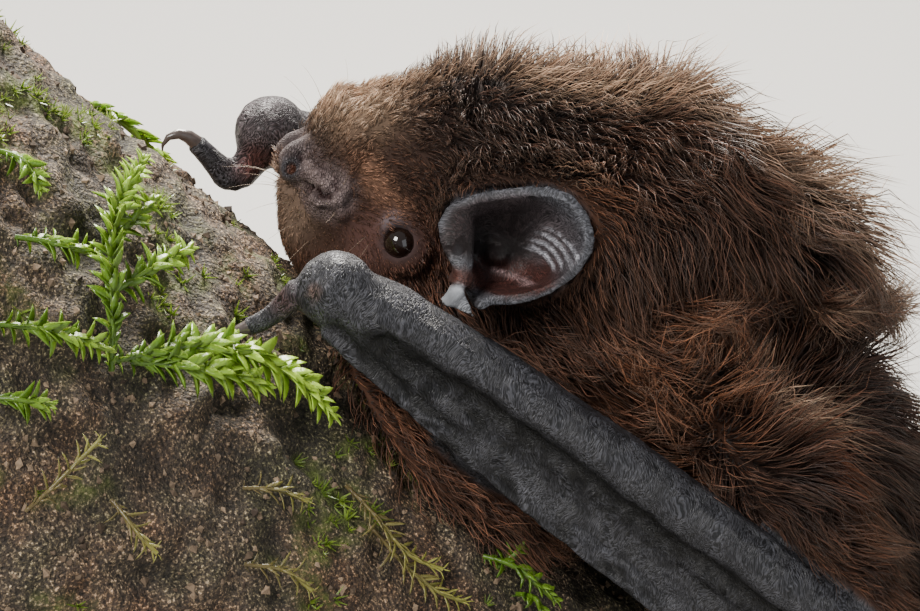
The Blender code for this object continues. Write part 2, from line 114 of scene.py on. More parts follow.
class StageSettings(bpy.types.PropertyGroup):
    floor_size: length("Floor size", "Side of the square floor", 6.0)
    floor_colour: colour("Floor", "Colour of the floor", (0.47, 0.46, 0.44))
    key_power: power("Key light", "Power of the key light", 2.2)
    rim_power: power("Rim light", "Power of the light behind", 10.0)
    fill_power: power("Fill light", "Power of the fill light", 0.9)


class SkinSettings(bpy.types.PropertyGroup):
    grain: length("Grain", "Size of the smallest modelled detail", 0.00017)
    triangles: count("Triangles", "Triangles of the finished skin", 150000, 1000)
    wing: colour("Wing", "Bare skin of the wings and wrists", (0.031, 0.031, 0.0355))
    rim: colour("Ear rim", "Rolled edge of the ears", (0.066, 0.067, 0.076))
    # the gland's own colour, made lighter as painted sheen in place of its gloss
    muzzle: colour("Muzzle", "Bare glandular skin of the muzzle", (0.300, 0.225, 0.215))
    flush: colour("Flush", "Reddish skin round the eyes and inside the ears", (0.070, 0.030, 0.024))


class CoatSettings(bpy.types.PropertyGroup):
    hairs: count("Hairs", "Tufts in the whole coat", 92000, 100)
    hair_length: length("Length", "Longest hair", 0.0044)
    thickness: length("Thickness", "Width of a hair at its root", 0.000056)
    root: colour("Root", "Colour of the hair's lower half", (0.018, 0.009, 0.006))
    back: colour("Back", "Colour on the back and flanks", (0.082, 0.036, 0.021))
    # the tip colour also paints the rim light along the coat's top line
    tip: colour("Tip", "Colour of the worn tips", (0.78, 0.57, 0.38))


class EyeSettings(bpy.types.PropertyGroup):
    iris: colour("Eye", "Colour of the eye", (0.012, 0.006, 0.004))


class BranchSettings(bpy.types.PropertyGroup):
    bark: colour("Bark", "Colour of the raised bark", (0.29, 0.215, 0.145))
    moss: colour("Moss", "Colour of the young moss", (0.27, 0.43, 0.04))
    moss_shoots: count("Moss shoots", "Small shoots over the bark", 5200)


class StandSettings(bpy.types.PropertyGroup):
    wood: colour("Wood", "Colour of the base", (0.115, 0.055, 0.026))
    metal: colour("Metal", "Colour of the rods", (0.50, 0.49, 0.47))


GROUPS = {
    "bat_stage": StageSettings, "bat_skin": SkinSettings, "bat_coat": CoatSettings, "bat_eye": EyeSettings,
    "bat_branch": BranchSettings, "bat_stand": StandSettings,
}


# ---------------------------------------------------------------- places and shapes

def to_branch(points):
    """Points in metres, in the row frame, as millimetres in the branch's frame."""
    return (np.asarray(points) * 1000 - SEAT) @ TURN


def to_row(points):
    """Points in millimetres in the branch's frame, as metres in the row frame."""
    return (np.asarray(points) @ TURN.T + SEAT) * MM


def mirrored(point):
    """The same place on the bat's other side."""
    return np.array(point) * (1, -1, 1)


def to_left(points):
    """Points with those on the bat's right side mirrored to its left."""
    return np.where(points[:, 1:2] > 0, points * (1, -1, 1), points)


def unit(vectors):
    """Vectors made one long."""
    vectors = np.asarray(vectors, float)
    return vectors / np.maximum(np.linalg.norm(vectors, axis=-1, keepdims=True), 1e-9)


def step(values, low, high):
    """Rises smoothly from 0 at low to 1 at high."""
    t = np.clip((np.asarray(values, float) - low) / (high - low), 0, 1)
    return t * t * (3 - 2 * t)


def near(points, centre, radius):
    """1 at the centre, falling smoothly to 0 at the radius."""
    return 1 - step(np.linalg.norm(points - np.array(centre), axis=1), 0, radius)


def along_line(points, path, radius):
    """1 on a path of straight runs, falling smoothly to 0 at the radius."""
    path = np.array(path, float)
    best = np.full(len(points), 1e9)
    for a, b in zip(path, path[1:]):
        t = np.clip((points - a) @ (b - a) / ((b - a) @ (b - a)), 0, 1)
        best = np.minimum(best, np.linalg.norm(points - a - t[:, None] * (b - a), axis=1))
    return 1 - step(best, 0, radius)


def ripple(points, size, seed, layers=2):
    """A smooth uneven field between about -1 and 1, with humps of the given size."""
    rng = np.random.default_rng(seed)
    table = rng.uniform(-1, 1, 4096)
    field = np.zeros(len(points))
    for layer in range(layers):
        axes = np.linalg.qr(rng.normal(size=(3, 3)))[0]
        place = points @ axes / (size * 0.8 ** layer) + rng.uniform(50, 90, 3)
        cell = np.floor(place).astype(np.int64)
        part = place - cell
        part = part * part * (3 - 2 * part)
        for corner in range(8):
            offset = np.array((corner & 1, corner >> 1 & 1, corner >> 2))
            key = (cell + offset) * (73856093, 19349663, 83492791)
            weight = np.abs(1 - offset - part).prod(1)
            field += table[(key[:, 0] ^ key[:, 1] ^ key[:, 2]) & 4095] * weight
    return field * 1.7 / math.sqrt(layers)


def read(items, name, width, kind=np.float32):
    """One property of all a mesh's items, as rows."""
    values = np.empty(len(items) * width, kind)
    items.foreach_get(name, values)
    return values.reshape(-1, width)


def stored_on(mesh, name):
    """The numbers stored at a mesh's points under a name."""
    return read(mesh.attributes[name].data, "value", 1)[:, 0]


def put(mesh, name, kind, values):
    """Stores a value for each of a mesh's points under a name."""
    attribute = mesh.attributes.get(name) or mesh.attributes.new(name, kind, "POINT")
    field = {"FLOAT": "value", "FLOAT_VECTOR": "vector", "FLOAT_COLOR": "color"}[kind]
    values = np.asarray(values, np.float32)
    if kind == "FLOAT_COLOR":
        values = np.concatenate([values, np.ones((len(values), 1), np.float32)], 1)
    attribute.data.foreach_set(field, values.ravel())


def add_object(name, mesh):
    """Links a mesh into the scene as an object."""
    made = bpy.data.objects.new(name, mesh)
    bpy.context.scene.collection.objects.link(made)
    return made


def mesh_from(bm, name):
    """Turns a bmesh into a mesh."""
    mesh = bpy.data.meshes.new(name)
    bm.to_mesh(mesh)
    bm.free()
    return mesh


def applied(source):
    """The mesh of an object after its modifiers, with the object removed."""
    bpy.context.view_layer.update()
    evaluated = source.evaluated_get(bpy.context.evaluated_depsgraph_get())
    mesh = bpy.data.meshes.new_from_object(evaluated)
    mesh.name = source.name
    bpy.data.objects.remove(source)
    return mesh


def dressed(mesh, material):
    """Gives a mesh its one material and smooth shading."""
    mesh.materials.clear()
    mesh.materials.append(material)
    mesh.shade_smooth()
    return mesh


def remeshed(mesh, grain):
    """One closed surface round everything in the mesh, in faces of the given size."""
    source = add_object("remesh", mesh)
    rebuild = source.modifiers.new("Remesh", "REMESH")
    rebuild.mode = "VOXEL"
    rebuild.voxel_size = grain
    return applied(source)


def thinned(mesh, triangles):
    """The mesh brought down to about so many triangles."""
    source = add_object("thin", mesh)
    mesh.calc_loop_triangles()
    thin = source.modifiers.new("Decimate", "DECIMATE")
    thin.ratio = min(1.0, triangles / len(mesh.loop_triangles))
    thin.use_collapse_triangulate = True
    return applied(source)


def corner_order(face):
    """A number for a bmesh face from its lowest corners, to sort faces in the same way in each run."""
    first, second, third = sorted(vert.index for vert in face.verts)[:3]
    return (first * 4096 + second) * 4096 + third


def add_node_copy(bm, name, grow):
    """Adds a merged copy of a CAD node to a bmesh, swollen by grow millimetres."""
    part = bmesh.new()
    part.from_mesh(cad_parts[name].data)
    bmesh.ops.remove_doubles(part, verts=part.verts, dist=1e-6)
    part.normal_update()
    for vert in part.verts:
        vert.co += vert.normal * grow * MM
    mesh = mesh_from(part, name)
    bm.from_mesh(mesh)
    bpy.data.meshes.remove(mesh)


def run(path, radii, gap=0.35):
    """Balls, as places and radii, that overlap along a path and that the remesh joins into one form."""
    path = np.array(path, float)
    radii = np.broadcast_to(np.array(radii, float), len(path))
    balls = []
    for a, b, ra, rb in zip(path, path[1:], radii, radii[1:]):
        count = max(1, int(np.linalg.norm(b - a) / (gap * min(ra, rb))))
        balls += [(a + (b - a) * t, ra + (rb - ra) * t) for t in np.linspace(0, 1, count + 1)]
    return balls


def balls_mesh(balls):
    """All the balls as one mesh in the row frame."""
    pattern = bmesh.new()
    bmesh.ops.create_icosphere(pattern, subdivisions=2, radius=1.0)
    shell = np.array([vert.co for vert in pattern.verts])
    faces = np.array([[vert.index for vert in face.verts] for face in pattern.faces])
    pattern.free()
    points = np.concatenate([centre + shell * radius for centre, radius in balls])
    corners = np.concatenate([faces + k * len(shell) for k in range(len(balls))])
    mesh = bpy.data.meshes.new("balls")
    mesh.from_pydata(to_row(points).tolist(), [], corners.tolist())
    return mesh


def ring(centre, out, radius, count):
    """Points round a circle that faces out."""
    out = unit(out)
    side = unit(np.cross(out, (0.0, 0.0, 1.0)))
    top = np.cross(side, out)
    angles = np.linspace(0, 2 * math.pi, count)
    return [centre + radius * (math.cos(a) * side + math.sin(a) * top) for a in angles]


def nearest(names, points, reach):
    """Distance from points to the nearest of some CAD nodes, and its index in their sorted names."""
    order = sorted(names)
    corners, faces, owners = [], [], []
    for name in names:
        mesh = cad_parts[name].data
        base = len(corners)
        corners.extend(to_branch(read(mesh.vertices, "co", 3)).tolist())
        for polygon in mesh.polygons:
            faces.append([base + i for i in polygon.vertices])
            owners.append(order.index(name))
    tree = BVHTree.FromPolygons(corners, faces)
    distance = np.full(len(points), FAR)
    owner = np.full(len(points), -1)
    for i, point in enumerate(points.tolist()):
        hit = tree.find_nearest(point, reach)
        if hit[0] is not None:
            distance[i] = hit[3]
            owner[i] = owners[hit[2]]
    return distance, owner, order


class Form:
    """A closed mesh while its points are shaped, in millimetres in the branch's frame."""

    def __init__(self, mesh):
        self.mesh = mesh
        mesh.calc_loop_triangles()
        self.points = to_branch(read(mesh.vertices, "co", 3)).astype(float)
        self.triangles = read(mesh.loop_triangles, "vertices", 3, np.int32)
        self.edges = read(mesh.edges, "vertices", 2, np.int32)
        self.valence = np.maximum(np.bincount(self.edges.ravel(), minlength=len(self.points)), 1)

    def around(self, values):
        """Each point's mean of its neighbours' values."""
        a, b = self.edges.T
        count = len(self.points)
        if values.ndim == 1:
            total = np.bincount(a, values[b], count) + np.bincount(b, values[a], count)
            return total / self.valence
        return np.stack([self.around(column) for column in values.T], 1)

    def relax(self, share=0.5, times=1):
        """Smooths the surface, where share is over 0."""
        share = np.broadcast_to(np.asarray(share, float), len(self.points))[:, None]
        for _ in range(times):
            self.points += share * (self.around(self.points) - self.points)

    def blurred(self, values, times):
        """A field on the points, smoothed over the surface."""
        for _ in range(times):
            values = 0.5 * values + 0.5 * self.around(values)
        return values

    def normals(self):
        """Normals at the points."""
        corner = self.points[self.triangles]
        face = np.cross(corner[:, 1] - corner[:, 0], corner[:, 2] - corner[:, 0])
        total = np.zeros_like(self.points)
        for k in range(3):
            for axis in range(3):
                total[:, axis] += np.bincount(self.triangles[:, k], face[:, axis], len(self.points))
        return unit(total)

    def push(self, amounts):
        """Moves the points along their normals, by millimetres."""
        self.points += self.normals() * np.asarray(amounts)[:, None]

    def store(self):
        """Writes the points back to the mesh."""
        self.mesh.vertices.foreach_set("co", to_row(self.points).astype(np.float32).ravel())
        self.mesh.update()
        return self.mesh


# ---------------------------------------------------------------- the skin's shape

def coat_depth(points):
    """How far the flesh lies below the tips of the coat."""
    from_nose = np.linalg.norm(points - NOSE, axis=1)
    depth = 0.30 + 1.9 * step(from_nose, 5.0, 12.0) + 1.1 * step(points[:, 0], 1.0, 9.0)
    low = step(points[:, 2], 6.5, 1.0)
    return depth * (1 - 0.45 * low)


def build_flesh():
    """The furred body without its coat: the furred nodes joined and sunk by the coat's depth."""
    bm = bmesh.new()
    for name in FURRED:
        add_node_copy(bm, name, 0.22)
    form = Form(remeshed(mesh_from(bm, "flesh"), 0.36 * MM))
    distance, _, _ = nearest(BARE, form.points, 8.0)
    limb_distance, _, _ = nearest(FURRED_LIMBS, form.points, 1.0)
    depth = np.minimum(coat_depth(form.points), 0.15 + 0.75 * np.minimum(distance, 9.0))
    depth *= 1 - 0.55 * (limb_distance < 0.45)
    depth = form.blurred(depth, 12)
    depth += 3.2 * near(to_left(form.points), HOLLOW, 5.2)
    form.relax(0.5, 4)
    steps = 12
    for _ in range(steps):
        form.push(-(depth + 0.22) / steps)
        form.relax(np.clip(depth * 0.35, 0.05, 0.6), 3)
    return form.store()


def ear_point(across, up, out):
    """A place in the left ear's own frame, in the branch's frame."""
    return EAR_MIDDLE + across * EAR_BACK + up * EAR_UP + out * EAR_OUT


GLAND_LUMPS = (((-11.6, -1.8, 5.3), 0.50), ((-11.2, -2.2, 5.9), 0.50), ((-10.6, -2.6, 5.7), 0.66),
               ((-9.9, -3.0, 5.5), 0.60), ((-10.4, -2.6, 4.9), 0.55), ((-9.9, -2.9, 6.3), 0.50),
               ((-9.2, -3.2, 5.2), 0.45))


def face_forms():
    """The left side's lids, nostril rim, glands, brow and ear flap, as balls."""
    lid = EYE_CENTRE + 0.42 * EYE_OUT
    balls = run(ring(lid, EYE_OUT, 0.92, 19), 0.17)
    balls += run(ring(EYE_CENTRE - 0.05 * EYE_OUT, EYE_OUT, 1.25, 15), 0.46)
    brow = ((0.50, -0.95), (1.00, -0.65), (1.16, -0.10), (1.00, 0.50))
    balls += run([lid + rise * EAR_UP + along * EAR_BACK for rise, along in brow], (0.20, 0.36, 0.36, 0.20))
    balls += run(ring(NOSTRIL, NOSTRIL_OUT, 0.44, 14), 0.17)
    balls += run(ring(NOSTRIL - 0.35 * unit(NOSTRIL_OUT), NOSTRIL_OUT, 0.40, 12), 0.30)
    for centre, radius in GLAND_LUMPS:
        balls += run((centre, centre), radius)
    balls += run(((-11.85, -0.4, 9.0), (-11.7, -0.5, 7.7), (-11.35, -0.5, 6.6)), (1.25, 1.25, 0.95))
    balls += run(((-11.1, -1.7, 8.6), (-10.9, -1.75, 7.5), (-10.5, -2.2, 6.9)), (1.15, 1.1, 0.8))
    balls += run(((-12.75, -0.62, 5.7), (-12.6, -0.6, 5.1), (-11.5, -0.5, 4.1), (-10.6, -0.5, 3.25),
                  (-9.7, -0.5, 2.35), (-8.8, -0.5, 1.5)), (0.46, 0.60, 0.58, 0.60, 0.58, 0.50))
    balls += run(((-12.2, -0.5, 6.5), (-12.65, -0.6, 5.9)), (0.62, 0.44))
    balls += run(((-11.7, -1.5, 5.9), (-11.5, -1.3, 6.6)), 0.55)
    balls += run((ear_point(-3.05, -1.65, -0.95), ear_point(-2.70, -1.65, -0.60)), 0.62)
    balls += run((ear_point(-3.30, -2.15, -0.05), ear_point(-2.88, -2.10, -0.02)), 0.36)
    balls += run(((-2.4, -4.2, 8.8), (-2.0, -5.4, 9.6)), 0.8)
    balls += run((ear_point(-2.90, 1.9, -0.85), ear_point(-2.95, 0.9, -0.75), ear_point(-2.85, 0.0, -0.65),
                  ear_point(-2.45, -0.85, -0.20)), (0.85, 0.98, 0.85, 0.42))
    return balls


def wing_forms(wrist):
    """The left wing's web between forearm and fingers and the run of the wrist into the arm, as balls."""
    arm = np.array(((-2.3, -11.9, 5.2), (5.0, -12.4, 6.0), (13.0, -12.7, 6.7), (25.0, -13.0, 7.4)))
    low = np.array(((-6.8, -11.7, 2.7), (5.0, -12.2, 2.4), (13.0, -12.2, 2.6), (26.5, -12.4, 3.2)))
    balls = run((wrist, wrist + (arm[0] - wrist) * 0.45 + (0, 0, 0.12), arm[0]), (1.95, 2.12, 1.84), 0.2)
    for share, radius, sink in ((0.30, 1.35, 0.15), (0.50, 1.05, 0.35), (0.70, 0.95, 0.30),
                                (0.88, 0.90, 0.10)):
        path = arm * (1 - share) + low * share
        path[:, 1] += sink
        balls += run((wrist + (low[0] - wrist) * share, *path), radius, 0.4)
    rim = np.array(((-8.7, -11.75, 1.55), (5.0, -12.75, 1.35), (13.0, -12.95, 1.5), (27.0, -13.3, 2.2)))
    balls += run(rim, 0.30, 0.5)
    return balls


LOBE = (  # upper and lower edge of the ear's lobe, in the ear's own frame
    ((-4.05, -2.74, 0.25), (-3.45, -2.15, 0.30), (-2.82, -2.06, 0.30), (-2.45, -2.70, 0.35),
     (-2.12, -3.49, 0.40)),
    ((-3.95, -3.05, 0.25), (-3.55, -3.20, 0.35), (-3.05, -3.45, 0.40), (-2.60, -3.65, 0.42),
     (-2.20, -3.75, 0.40)),
)
TAIL_WEB = (  # the left half of the web beside the tail, before it and out to the shin: two edges each
    (((38.0, -0.2, 3.0), (42.0, -0.2, 3.2), (45.0, -0.2, 2.8), (49.0, -0.2, 2.2), (54.0, -0.2, 1.75),
      (60.0, -0.2, 1.4), (66.0, -0.2, 1.15), (68.8, -0.2, 1.0)),
     ((38.0, -2.2, 2.3), (42.0, -2.8, 2.7), (45.0, -2.6, 2.45), (49.0, -2.4, 1.9), (54.0, -2.1, 1.4),
      (60.0, -1.8, 1.25), (66.0, -1.5, 1.1), (68.8, -1.2, 1.05))),
    (((34.5, -0.3, 3.2), (34.5, -3.0, 3.8), (34.5, -6.0, 5.2), (35.0, -9.0, 6.2), (36.4, -12.3, 6.0)),
     ((38.8, -0.3, 2.4), (38.6, -3.0, 2.3), (38.6, -6.0, 2.4), (38.6, -9.0, 2.5), (38.6, -11.0, 2.6))),
    (((36.4, -12.4, 5.9), (40.5, -11.9, 4.3), (43.5, -11.1, 3.2), (47.0, -10.1, 2.0), (50.4, -9.1, 0.9)),
     ((37.6, -10.2, 2.4), (40.5, -10.0, 2.6), (43.5, -9.6, 2.5), (47.0, -8.2, 1.5), (50.0, -7.0, 0.75))),
)


def add_plate(bm, edges, thickness, side):
    """Adds a closed plate between two edges given in the branch's frame to a bmesh."""
    first, second = (np.array(edge, float) * (1, side, 1) for edge in edges)
    rows = []
    for k, (a, b) in enumerate(zip(first, second)):
        ahead = (first + second)[min(k + 1, len(first) - 1)] - (first + second)[max(k - 1, 0)]
        out = unit(np.cross(ahead, b - a)) * thickness / 2
        rows.append([bm.verts.new(to_row(point)) for point in (a + out, b + out, b - out, a - out)])
    faces = [bm.faces.new(rows[0]), bm.faces.new(rows[-1])]
    for row, after in zip(rows, rows[1:]):
        faces += [bm.faces.new((row[k], row[(k + 1) % 4], after[(k + 1) % 4], after[k])) for k in range(4)]
    bmesh.ops.recalc_face_normals(bm, faces=faces)


def added_forms(bm):
    """Adds what the CAD leaves out of the skin's shape, on both sides, to a bmesh."""
    face = face_forms()
    balls = face + [(mirrored(centre), radius) for centre, radius in face]
    wrist_left, wrist_right = np.array((-9.4, -10.7, 3.5)), np.array((-10.2, -9.8, 3.2))
    balls += wing_forms(wrist_left)
    balls += [(mirrored(centre), radius) for centre, radius in wing_forms(wrist_right)]
    balls += run(((-10.2, 9.3, 1.7), (-10.0, 9.1, 0.5), (-10.5, 9.0, -0.2), (-11.6, 9.0, 0.0),
                  (-13.2, 9.0, 0.25)), (1.15, 1.0, 0.88, 0.78, 0.58))
    bm.from_mesh(balls_mesh(balls))
    lobe = [[ear_point(*place) for place in edge] for edge in LOBE]
    for side in (1, -1):
        add_plate(bm, lobe, 0.55, side)
        for edges in TAIL_WEB:
            add_plate(bm, edges, 0.50, side)


def shape_face(form):
    """Sinks the nostrils and the mouth line and roughens the muzzle."""
    moves = np.zeros(len(form.points))
    for side in (1, -1):
        points = form.points * (1, side, 1)
        hole = NOSTRIL + 0.1 * NOSTRIL_OUT
        moves -= 0.5 * near(points, hole, 0.42)
        mouth = ((-12.1, 0.0, 3.75), (-11.5, -1.3, 3.95), (-10.5, -2.0, 3.6), (-9.3, -2.7, 3.0),
                 (-7.4, -3.5, 2.9))
        moves -= 0.40 * along_line(points, mouth, 0.36)
        moves += 0.12 * along_line(points, [(x, y, z + 0.45) for x, y, z in mouth], 0.4)
        gland = near(points, GLAND, 2.3)
        moves += gland * (0.19 * ripple(points, 0.60, 5) + 0.13 * ripple(points, 0.30, 6))
        crease = ((-11.9, -1.9, 3.9), (-11.0, -2.4, 4.3), (-10.1, -2.9, 4.3), (-9.2, -3.4, 4.6))
        moves -= 0.12 * along_line(points, crease, 0.35)
        fold = ((-7.6, -3.9, 5.2), (-6.9, -4.6, 5.2), (-6.1, -5.1, 5.6))
        moves -= 0.10 * along_line(points, fold, 0.3)
    form.push(moves)


def ear_place(points):
    """Points in the left ear's own frame: across towards the back, up and out."""
    return (points - EAR_MIDDLE) @ np.array((EAR_BACK, EAR_UP, EAR_OUT)).T


def ear_front(points):
    """Points of the ear's own outline as seen from in front of it, the flap and lobe among them."""
    place = ear_place(to_left(points))
    return (np.hypot(place[:, 0] / 4.35, (place[:, 1] - 0.1) / 3.2) < 1) & (np.abs(place[:, 2] + 0.3) < 2.0)


def ear_hollow(points):
    """Whether a point on either side lies inside an ear's cup, from 0 to 1."""
    left = to_left(points)
    place = ear_place(left)
    shell = np.hypot(place[:, 0] / 3.75, place[:, 1] / 2.85)
    deep = (shell < 0.80) & (place[:, 2] > -3.3) | (shell < 0.97) & (place[:, 2] > -1.3)
    return (deep & (place[:, 2] < 1.5) & (place[:, 1] > -2.6)).astype(float)


def ear_ribs(place):
    """The pale arched ribs inside the ear, from 0 to 1."""
    across, up = place[:, 0] - 0.72, place[:, 1] + 1.51
    radius = np.hypot(across, up)
    angle = np.arctan2(up, across)
    window = step(radius, 1.05, 1.3) * step(radius, 2.95, 2.70) * step(angle, 0.10, 0.45)
    window *= step(angle, 1.85 - 0.3 * (radius - 1.3), 1.35 - 0.3 * (radius - 1.3))
    return window * step(np.cos(2 * math.pi * (radius - 1.38 - 0.10 * angle) / 0.44), -0.45, 0.7)


def shape_ears(form, ear):
    """Ribs inside the ears and fine folds across their rolled rims."""
    moves = np.zeros(len(form.points))
    normals = form.normals()
    for side in (1, -1):
        points = form.points * (1, side, 1)
        place = ear_place(points)
        facing = (normals * (1, side, 1)) @ EAR_OUT
        open_side = step(facing, 0.05, 0.5) * (points[:, 1] < 0)
        moves += 0.13 * ear * open_side * ear_ribs(place)
        angle = np.arctan2(place[:, 1], place[:, 0])
        edge = step(np.hypot(place[:, 0] / 3.9, place[:, 1] / 2.9), 0.78, 0.95)
        moves += 0.010 * ear * edge * (points[:, 1] < 0) * np.sin(angle * 90 + 3 * ripple(points, 1.0, 8))
        raised = 0.38 * ear * step(-place[:, 1], 1.2, 3.0)
        raised *= step(place[:, 0], -2.0, -1.2) * (points[:, 1] < 0)
        form.points += raised[:, None] * EAR_UP * (1, side, 1)
    form.push(moves)


def wing_folds(points):
    """Height of the folds in the closed wings and on the wrists, in millimetres, and their painted light and
    shade.
    """
    left = to_left(points)
    warp = np.stack([ripple(points, 1.3, 20 + k) for k in range(3)], 1)
    bent = points + 0.30 * warp
    across = ripple(bent * (1.0, 0.30, 0.30), 0.34, 31)
    crumple = 1 - 2 * np.abs(np.clip(ripple(bent, 0.75, 33), -1, 1))
    streaks = ripple(bent * (0.22, 1.0, 1.0), 0.42, 34)
    # the valley between the forearm and the fingers, with a second crease below it
    valley = ((-6.5, -12.6, 3.4), (-2.0, -13.2, 4.2), (4.8, -13.8, 4.7), (12.0, -14.0, 5.1),
              (27.0, -14.2, 5.9))
    wander = left.copy()
    wander[:, 2] += 0.22 * ripple(points * (1, 0, 0), 2.6, 36)
    crease = along_line(wander, valley, 1.25)
    second = along_line(wander, [(x, y, z - 1.05) for x, y, z in valley], 0.45)
    middle = along_line(left, [(x, y, z - 0.7) for x, y, z in valley], 2.1)
    low = step(left[:, 2], 3.4, 2.0) * step(left[:, 0], -8.0, -6.0)
    hem = along_line(left, ((-8.7, -12.2, 2.25), (5.0, -13.3, 2.10), (13.0, -13.5, 2.3), (27.0, -13.9, 3.0)),
                     0.55)
    fine = 0.018 * across * (1 - middle) * (1 - low) + 0.075 * crumple * middle + 0.060 * streaks * low
    height = fine - 0.60 * crease - 0.16 * second - 0.16 * hem + 0.03 * ripple(points, 1.5, 35)
    # painted light and shade: lighter on the fine folds' tops, darker in the valley, its creases, the hem and
    # low down
    return height, fine / 0.05 - 1.6 * middle - 1.4 * crease - 0.9 * second - 0.7 * hem - 0.35 * low


def wrinkle_lay(points, ear):
    """Where each point lies for the fine wrinkles: along the limb or ear rim first, then across it."""
    left = to_left(points)
    place = ear_place(left)
    rim = np.stack([3.3 * np.arctan2(place[:, 1] * 1.3, place[:, 0]), np.hypot(place[:, 0], place[:, 1]),
                    place[:, 2]], 1)
    arm = np.stack([left[:, 0] + 0.35 * left[:, 2], left[:, 2] - left[:, 1], left[:, 1]], 1)
    return np.where(ear[:, None] > 0.5, rim, arm)


def build_skin():
    """The one skin, in the branch's frame: flesh, bare parts and facial forms joined, then worked over."""
    bm = bmesh.new()
    bm.from_mesh(build_flesh())
    for name in BARE:
        if "tragus" not in name:
            add_node_copy(bm, name, 0.13)
    added_forms(bm)
    return Form(remeshed(mesh_from(bm, "skin"), bpy.context.scene.bat_skin.grain))


def painted(tone, *layers):
    """Colours at the points under layers of other colours, each layer with its share at each point."""
    tone = np.asarray(tone)
    for colour, share in layers:
        share = np.asarray(share)[:, None]
        tone = tone * (1 - share) + np.asarray(colour) * share
    return tone


def coat_colour(points, settings):
    """The coat's markings and painted light: the same for the skin below it and for its hairs."""
    left = to_left(points)
    from_crown = np.linalg.norm(points - np.array((-5.0, 0, 14.0)), axis=1)
    streak = ((-11.3, -1.2, 8.6), (-9.9, -2.8, 7.9), (-8.4, -3.6, 7.5), (-7.4, -4.1, 7.3))
    base = painted(
        np.tile(np.array(settings.back), (len(points), 1)),
        ((0.155, 0.062, 0.030), step(ripple(points, 5.0, 41), -0.5, 0.7)),  # redder patches all over
        ((0.060, 0.030, 0.020), step(from_crown, 9.0, 4.0)),  # dark crown
        ((0.16, 0.066, 0.034), step(points[:, 2], 4.0, -1.5) * 0.8),  # flanks near the bark
        ((0.035, 0.018, 0.013), 0.85 * near(left, (-6.6, -5.4, 9.4), 2.6)),  # above the eye
        ((0.44, 0.23, 0.14), 0.85 * along_line(left, streak, 1.35)),  # pale streak over the muzzle
        ((0.25, 0.165, 0.115), 0.95 * near(left, (-10.9, -1.6, 2.8), 3.0)),  # chin
        ((0.62, 0.42, 0.27), 0.95 * near(left, (-12.2, -0.3, 10.2), 4.0)),  # brow: pale with painted rim light
        ((0.32, 0.21, 0.145), 0.7 * near(left, (-11.3, -0.8, 3.0), 3.2)))  # lower lip
    base = base * (1 - 0.38 * step(left[:, 0], 13.0, 19.0))[:, None]
    return painted(
        base,
        ((0.060, 0.036, 0.028), 0.9 * near(left, (-12.0, -0.9, 6.8), 2.6)),  # bridge of the nose
        ((0.150, 0.064, 0.042), 0.8 * near(left, (-5.6, -5.0, 5.8), 4.2)),  # round the eye
        ((0.22, 0.060, 0.018), 0.9 * near(left, (16.6, -8.9, 14.4), 4.0)),  # painted warm highlight on the shoulder
        ((0.17, 0.085, 0.050), 0.8 * near(left, (3.8, -9.8, 12.6), 4.6)),  # behind the ear
        ((0.022, 0.010, 0.007), 0.95 * near(left, (22.0, -7.0, 16.0), 8.0)),  # dark back
        ((0.006, 0.003, 0.002), np.clip(2.8 * near(left, HOLLOW, 6.2), 0, 0.98)))  # shade in the hollow


def off_axis(points, centre, out):
    """How far points lie in front of a centre along a direction, and how far from that line."""
    spread = points - centre
    depth = spread @ unit(out)
    return depth, np.linalg.norm(spread - depth[:, None] * unit(out), axis=1)


def ear_colour(points, place, settings):
    """The ear's colour at points in its own frame: dark with painted shade within, reddish low down, grey at
    the rim.
    """
    across, up, out = place.T
    flat = place[:, :2]
    shell = np.hypot(across / 4.15, (up - 0.15) / 3.05)
    warm = step(up, -0.3, -1.2) * step(across, 2.9, 1.7) * step(across, -3.2, -2.6)
    # grey at the rim, and on the back side a fainter band further in: painted light on the rolled edge
    edge = step(shell, 0.78, 1.02) + 0.45 * step(shell, 0.50, 0.85) * step(across, 0.5, 2.5)
    strut = along_line(flat, ((-1.05, -1.11), (0.92, -1.99)), 0.17) * (out < 0.4)
    flap = (across < -1.5) * (up > -1.7) * (out > -1.4)
    core = along_line(flat, ((-2.9, 1.5), (-3.15, 0.5), (-2.9, -0.1)), 1.15)
    notch = along_line(flat, ((-3.5, -1.55), (-2.5, -1.75)), 0.75)
    return notch, painted(
        np.tile((0.042, 0.032, 0.034), (len(points), 1)),
        ((0.012, 0.008, 0.008), step(out, -0.8, -2.1) * step(across, 1.6, 0.2)),  # painted shade deep in the cup
        ((0.040, 0.013, 0.010), warm),  # reddish lower part
        ((0.022, 0.006, 0.005), near(flat, (-1.75, -1.25), 1.3)),  # painted shade in the ear opening
        (settings.rim, np.clip(edge, 0, 1) * (1 - 0.9 * warm * (shell < 0.90))),
        ((0.30, 0.30, 0.33), 0.9 * ear_ribs(place)),
        ((0.30, 0.20, 0.20), strut),
        ((0.040, 0.031, 0.032), 0.9 * flap * step(shell, 1.02, 0.90)),
        ((0.018, 0.011, 0.011), np.clip(1.8 * core, 0, 1) * flap),  # flap's middle, dark brown deepened by painted shade
        ((0.080, 0.080, 0.088), along_line(flat, ((-3.3, -0.72), (-2.35, -0.95)), 0.60) * flap),  # its foot
        ((0.080, 0.034, 0.027), np.clip(1.6 * notch, 0, 1) * (out < 1.0)))


